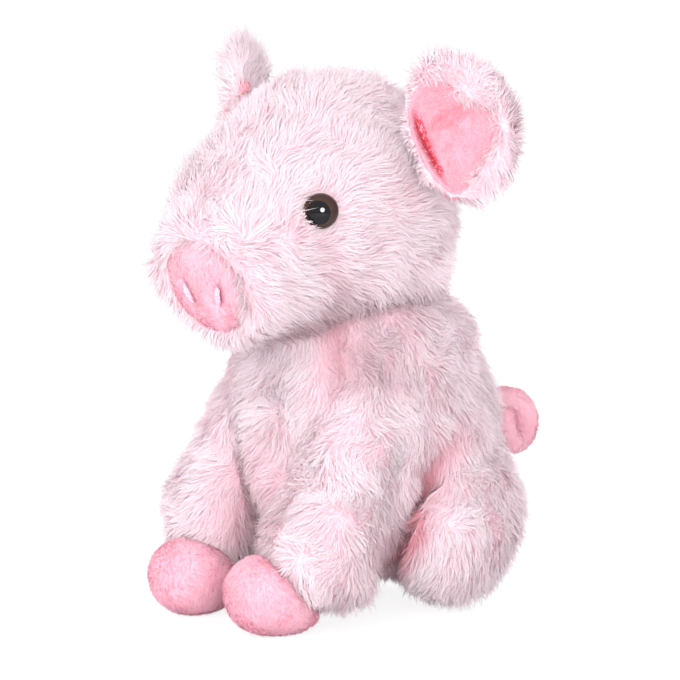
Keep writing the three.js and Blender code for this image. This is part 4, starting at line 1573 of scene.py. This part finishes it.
class PIG_OT_ear_linings(bpy.types.Operator):
    """The short-pile ear linings, folded at their upper edge"""

    bl_idname = "plush_pig.ear_linings"
    bl_label = "Ear linings"

    def execute(self, context):
        for side in SIDES:
            node = f"ear_lining_{side}"
            ear = EarFrame(side)
            cloth = self.leaf(ear, f"{node}_cloth")
            finished(cloth, f"ear_{side}", shared_finish("lining cloth"), [node])

            # Painted shade: deep red in the groove by the head and in the fold across the lining
            def shade(roots, ear=ear):
                out, up = (ear.local(roots)[:, :2] / [ear.half_out, ear.half_up]).T
                across, beside = self.creases(out, up)
                groove = near(beside, 0.1) * ramp(up, -0.6, -0.35)
                fold = near(across, 0.06) * near(out + 0.1, 0.35)
                crease = 1.2 * groove * (1.0 - ramp(up, 0.05, 0.4)) + 0.2 * fold
                return np.clip(crease, 0.0, 1.0), 0.0 * crease

            seed = 91 + SIDES.index(side)
            fuzz(f"{node}_pile", f"ear_{side}", cloth, "lining fibres", seed, shade)
        return {"FINISHED"}

    def creases(self, out, up):
        """How far spots lie over the fold across the ear, and out from the groove by the head."""
        return up - 0.13 - 0.3 * (out + 0.2), out + 0.6 + 0.33 * up

    def leaf(self, ear, name):
        """A closed leaf inside the rim's roll, with a fold across and a groove by the head."""
        rings, spokes = 24, 84
        tree = surface_tree(bpy.data.objects[f"ear_cloth_{ear.side}"].data)
        halves = np.array([ear.half_out, ear.half_up])
        middle = np.array(ear.LINING_MIDDLE_SHARE) * halves
        angles = np.linspace(-math.pi, math.pi, spokes, endpoint=False)
        ways = np.stack([np.cos(angles), np.sin(angles)], axis=1)
        rim = 1.0 * MM / ear.lining_reach(middle + ways * 1.0 * MM)
        shares = np.linspace(0.0, 1.06, rings + 1)
        flat = (middle + shares[:, None, None] * (ways * rim[:, None])).reshape(-1, 2)
        places = ear.middle + ear.place(flat[:, 0], flat[:, 1], 0.0 * flat[:, 0])
        fronts = np.full(len(places), np.nan)
        for i, place in enumerate(places):
            start = Vector(place + ear.front * 20.0 * MM)
            hit = tree.ray_cast(start, Vector(-ear.front))[0]
            if hit is not None:
                fronts[i] = (np.array(hit) - place) @ ear.front
        fronts = np.where(np.isnan(fronts), np.nanmedian(fronts), fronts)
        fronts += self.folds(flat / halves, np.repeat(shares, spokes))
        shape = places + ear.place(0.0 * fronts, 0.0 * fronts, fronts)
        mesh = from_triangles(name, shape, np.array(grid(rings + 1, spokes)))
        joined(mesh, 0.02 * MM, ear.front)
        piece = linked(name, mesh)
        piece.modifiers.new("soften", "SMOOTH").iterations = 3
        thick = piece.modifiers.new("thickness", "SOLIDIFY")
        thick.thickness = 1.0 * MM
        thick.offset = -1.0
        return settled(piece)

    def folds(self, spots, reach):
        """How far the lining stands off the leaf at some shares of the ear's half sizes."""
        out, up = spots[:, 0], spots[:, 1]
        across, beside = self.creases(out, up)
        crease = near(across, 0.07) * ramp(out, -0.55, -0.2) * (1.0 - ramp(out, 0.15, 0.4))
        lobe = near(across - 0.24, 0.2) + near(across + 0.3, 0.3)
        groove = near(beside, 0.09) * (1.0 - ramp(up, 0.1, 0.45)) * ramp(up, -0.6, -0.35)
        tuck = ramp(reach, 0.85, 1.05)
        return (1.6 + 1.5 * lobe - 2.6 * crease - 2.6 * groove - 1.6 * tuck) * MM


class PIG_OT_eyes(bpy.types.Operator):
    """The moulded eyes"""

    bl_idname = "plush_pig.eyes"
    bl_label = "Eyes"

    def execute(self, context):
        props = settings().face
        material = eye_finish("eye plastic", props.iris, props.edge, props.pupil)
        head = HeadFrame()
        for side in SIDES:
            dome = self.dome(EyeFrame(side), head, props, side)
            finished(dome, "head", material, [f"eye_{side}"])
        return {"FINISHED"}

    def dome(self, eye, head, props, side):
        """A turned dome with a rounded rim, and a map of turn and reach on its face."""
        spokes, rings = 56, 20
        ahead = flattened(-head.back, eye.out)
        down = np.cross(eye.out, ahead)
        if down[2] > 0:
            down = -down
        edge = 1.0 * MM
        skirt = 1.5 * MM
        profile = [(eye.radius * 0.9, -skirt), (eye.radius, -0.8 * MM)]
        for k in range(rings + 1):
            angle = (k / rings) * math.pi / 2.0
            rise = edge + (eye.height - edge) * math.sin(angle)
            profile.append((eye.radius * math.cos(angle), rise))
        places, coordinates = [], []
        gaze = props.gaze
        for radius, rise in profile:
            for j in range(spokes):
                angle = 2.0 * math.pi * j / spokes
                x, y = radius * math.cos(angle), radius * math.sin(angle)
                places.append(eye.seat + ahead * x + down * y + eye.out * rise)
                u, v = x / eye.radius - gaze * 0.9, y / eye.radius - gaze * 0.6
                turn = math.atan2(v, u) / (2.0 * math.pi) + 0.5
                outer = min(1.0, math.hypot(x, y) / eye.radius)
                inner = math.hypot(u, v)
                coordinates.append((turn, inner * (1.0 - outer**3) + outer**4))
        corners = grid(len(profile), spokes)
        places.append(eye.seat - eye.out * skirt)
        coordinates.append((0.5, 1.0))
        corners += [((j + 1) % spokes, j, len(places) - 1) for j in range(spokes)]
        mesh = from_triangles(f"eye_dome_{side}", np.array(places), np.array(corners))
        write_map(mesh, np.array(coordinates))
        joined(mesh, 0.005 * MM)
        return linked(f"eye_dome_{side}", mesh)


class PIG_OT_neck_seam(bpy.types.Operator):
    """The neck's seam, drawn tight under the pile"""

    bl_idname = "plush_pig.neck_seam"
    bl_label = "Neck seam"

    def execute(self, context):
        props = settings().long_pile
        pivot = np.array(joint("head_turn")["pos_m"])
        seam = linked("neck_seam_thread", frame["nodes"]["neck_seam"].data.copy())
        moved(seam, pivot + (read_points(seam.data) - pivot) * SEAM_TIGHTNESS)
        shade_smooth(seam.data)
        material = thread_finish("seam thread", props.tip, props.root, 400.0)
        finished(seam, "neck", material, ["neck_seam"])
        return {"FINISHED"}


class PIG_OT_fillings(bpy.types.Operator):
    """The loose fibre that fills torso, head and legs"""

    bl_idname = "plush_pig.fillings"
    bl_label = "Fillings"

    def execute(self, context):
        material = backing_finish("filling fibre", *FILLING_COLOURS)
        limbs = [f"{limb}_{side}" for limb in ("front_leg", "hind_leg") for side in SIDES]
        for body in ("torso", "head", *limbs):
            part, _, side = body.rpartition("_") if body in limbs else (body, "", "")
            cloth = f"{part}_cloth_{side}".rstrip("_")
            name = f"{part}_filling_{side}".rstrip("_")
            filling = linked(f"{name}_fibre", bpy.data.objects[cloth].data.copy())
            places = read_points(filling.data)
            middle = places.mean(axis=0)
            moved(filling, middle + (places - middle) * FILLING_SHARE)
            finished(filling, body, material, [name])
        return {"FINISHED"}


class PIG_OT_washers(bpy.types.Operator):
    """The finish of the washers behind the eyes, which keep their solids"""

    bl_idname = "plush_pig.washers"
    bl_label = "Washers"

    def execute(self, context):
        material = plastic_finish("washer plastic", *WASHER_COLOURS)
        for side in SIDES:
            mesh = frame["nodes"][f"eye_washer_{side}"].data
            mesh.materials.clear()
            mesh.materials.append(material)
        return {"FINISHED"}


# Stage

# What the camera looks at: the middle of the pig as the photograph frames it
LOOK_AT = Vector((-10.98, 2.235, 92.0)) * MM


def aimed_lamp(name, place, size, power):
    """A round lamp that shines at the pig, and is hidden in its gloss."""
    lamp = bpy.data.lights.new(name, "AREA")
    lamp.shape = "DISK"
    lamp.size = size
    lamp.energy = power
    holder = linked(name, lamp)
    holder.location = place
    holder.rotation_euler = (LOOK_AT - place).to_track_quat("-Z", "Y").to_euler()
    holder.visible_glossy = False
    return holder


class PIG_OT_stage(bpy.types.Operator):
    """Camera, floor, lamps and world"""

    bl_idname = "plush_pig.stage"
    bl_label = "Stage"

    def execute(self, context):
        props = settings().stage
        scene = context.scene
        azimuth, elevation = math.radians(props.azimuth), math.radians(props.elevation)
        back = Vector((
            math.sin(azimuth) * math.cos(elevation),
            -math.cos(azimuth) * math.cos(elevation),
            math.sin(elevation),
        ))
        aside = Vector((math.cos(azimuth), math.sin(azimuth), 0.0))
        up = Vector(UP)
        camera = bpy.data.cameras.new("camera")
        camera.lens = props.lens
        camera.sensor_width = 36.0
        camera.clip_start = 0.05
        holder = linked("camera", camera)
        holder.location = LOOK_AT + back * props.distance
        holder.rotation_euler = (-back).to_track_quat("-Z", "Y").to_euler()
        scene.camera = holder
        scene.view_settings.view_transform = "Standard"

        key = LOOK_AT + back * 0.95 - aside * 0.33 + up * 0.36
        aimed_lamp("key", key, 1.2, props.key)
        aimed_lamp("fill", LOOK_AT + back * 1.1 + aside * 0.1 - up * 0.04, 0.7, props.fill)
        for name, way in (("rear left", -1.0), ("rear right", 1.0)):
            rear = LOOK_AT - back * 0.75 + aside * way * 0.6 + up * 0.55
            aimed_lamp(name, rear, 0.6, props.rear)
        catch = aimed_lamp("catch", LOOK_AT + back * 0.9 + aside * 0.06 + up * 0.06, 0.3, props.catch)
        catch.visible_glossy = True
        catch.visible_diffuse = False
        self.floor(props)
        self.world(scene, props)
        return {"FINISHED"}

    def floor(self, props):
        """A wide pale floor that the camera sees as white, with the pig's shadow."""
        size = 6.0
        mesh = bpy.data.meshes.new("floor")
        corners = [(-size, -size, 0), (size, -size, 0), (size, size, 0), (-size, size, 0)]
        mesh.from_pydata(corners, [], [(0, 1, 2, 3)])
        floor = linked("floor", mesh)
        finish = Finish("floor")
        finish.plain(Base_Color=props.floor, Roughness=0.9, Specular_IOR_Level=0.1)
        seen = finish.signal(finish.node("ShaderNodeLightPath"), "Is Camera Ray")
        white = finish.node("ShaderNodeEmission", Color=WHITE, Strength=props.glow)
        finish.mixed(seen * 0.72, finish.surface, white, finish.tree.nodes["Material Output"])
        floor.data.materials.append(finish.material)

    def world(self, scene, props):
        """Light from all round, and a white that the camera, gloss and clear plastic show."""
        world = bpy.data.worlds.new("studio")
        world.use_nodes = True
        nodes = Nodes(world.node_tree)
        nodes.tree.nodes.clear()
        path = nodes.node("ShaderNodeLightPath")
        rays = ("Is Camera Ray", "Is Glossy Ray", "Is Transmission Ray")
        camera, glossy, through = (nodes.signal(path, ray) for ray in rays)
        plain = nodes.node("ShaderNodeBackground", Color=WHITE, Strength=props.world)
        white = nodes.node("ShaderNodeBackground", Color=WHITE, Strength=1.0)
        output = nodes.node("ShaderNodeOutputWorld")
        nodes.mixed(camera + glossy + through, plain, white, output)
        scene.world = world


OPERATORS = (
    PIG_OT_torso_cover,
    PIG_OT_head_cover,
    PIG_OT_leg_covers,
    PIG_OT_ear_covers,
    PIG_OT_hooves,
    PIG_OT_torso_pile,
    PIG_OT_head_pile,
    PIG_OT_leg_pile,
    PIG_OT_ear_pile,
    PIG_OT_tail,
    PIG_OT_snout,
    PIG_OT_nostrils,
    PIG_OT_ear_linings,
    PIG_OT_eyes,
    PIG_OT_neck_seam,
    PIG_OT_fillings,
    PIG_OT_washers,
    PIG_OT_stage,
)


class PIG_PT_panel(bpy.types.Panel):
    """Lists the steps that build the pig"""

    bl_idname = "PIG_PT_panel"
    bl_label = "Plush Pig"
    bl_space_type = "VIEW_3D"
    bl_region_type = "UI"
    bl_category = "Plush Pig"

    def draw(self, context):
        for operator in OPERATORS:
            self.layout.operator(operator.bl_idname)


CLASSES = (
    LongPileProperties,
    ShortPileProperties,
    FaceProperties,
    StageProperties,
    PigProperties,
    *OPERATORS,
    PIG_PT_panel,
)


def register():
    for entry in CLASSES:
        bpy.utils.register_class(entry)
    bpy.types.Scene.plush_pig = PointerProperty(type=PigProperties)


def unregister():
    del bpy.types.Scene.plush_pig
    for entry in reversed(CLASSES):
        bpy.utils.unregister_class(entry)


def main():
    register()
    for operator in OPERATORS:
        area, name = operator.bl_idname.split(".")
        getattr(getattr(bpy.ops, area), name)()


if __name__ == "__main__":
    main()
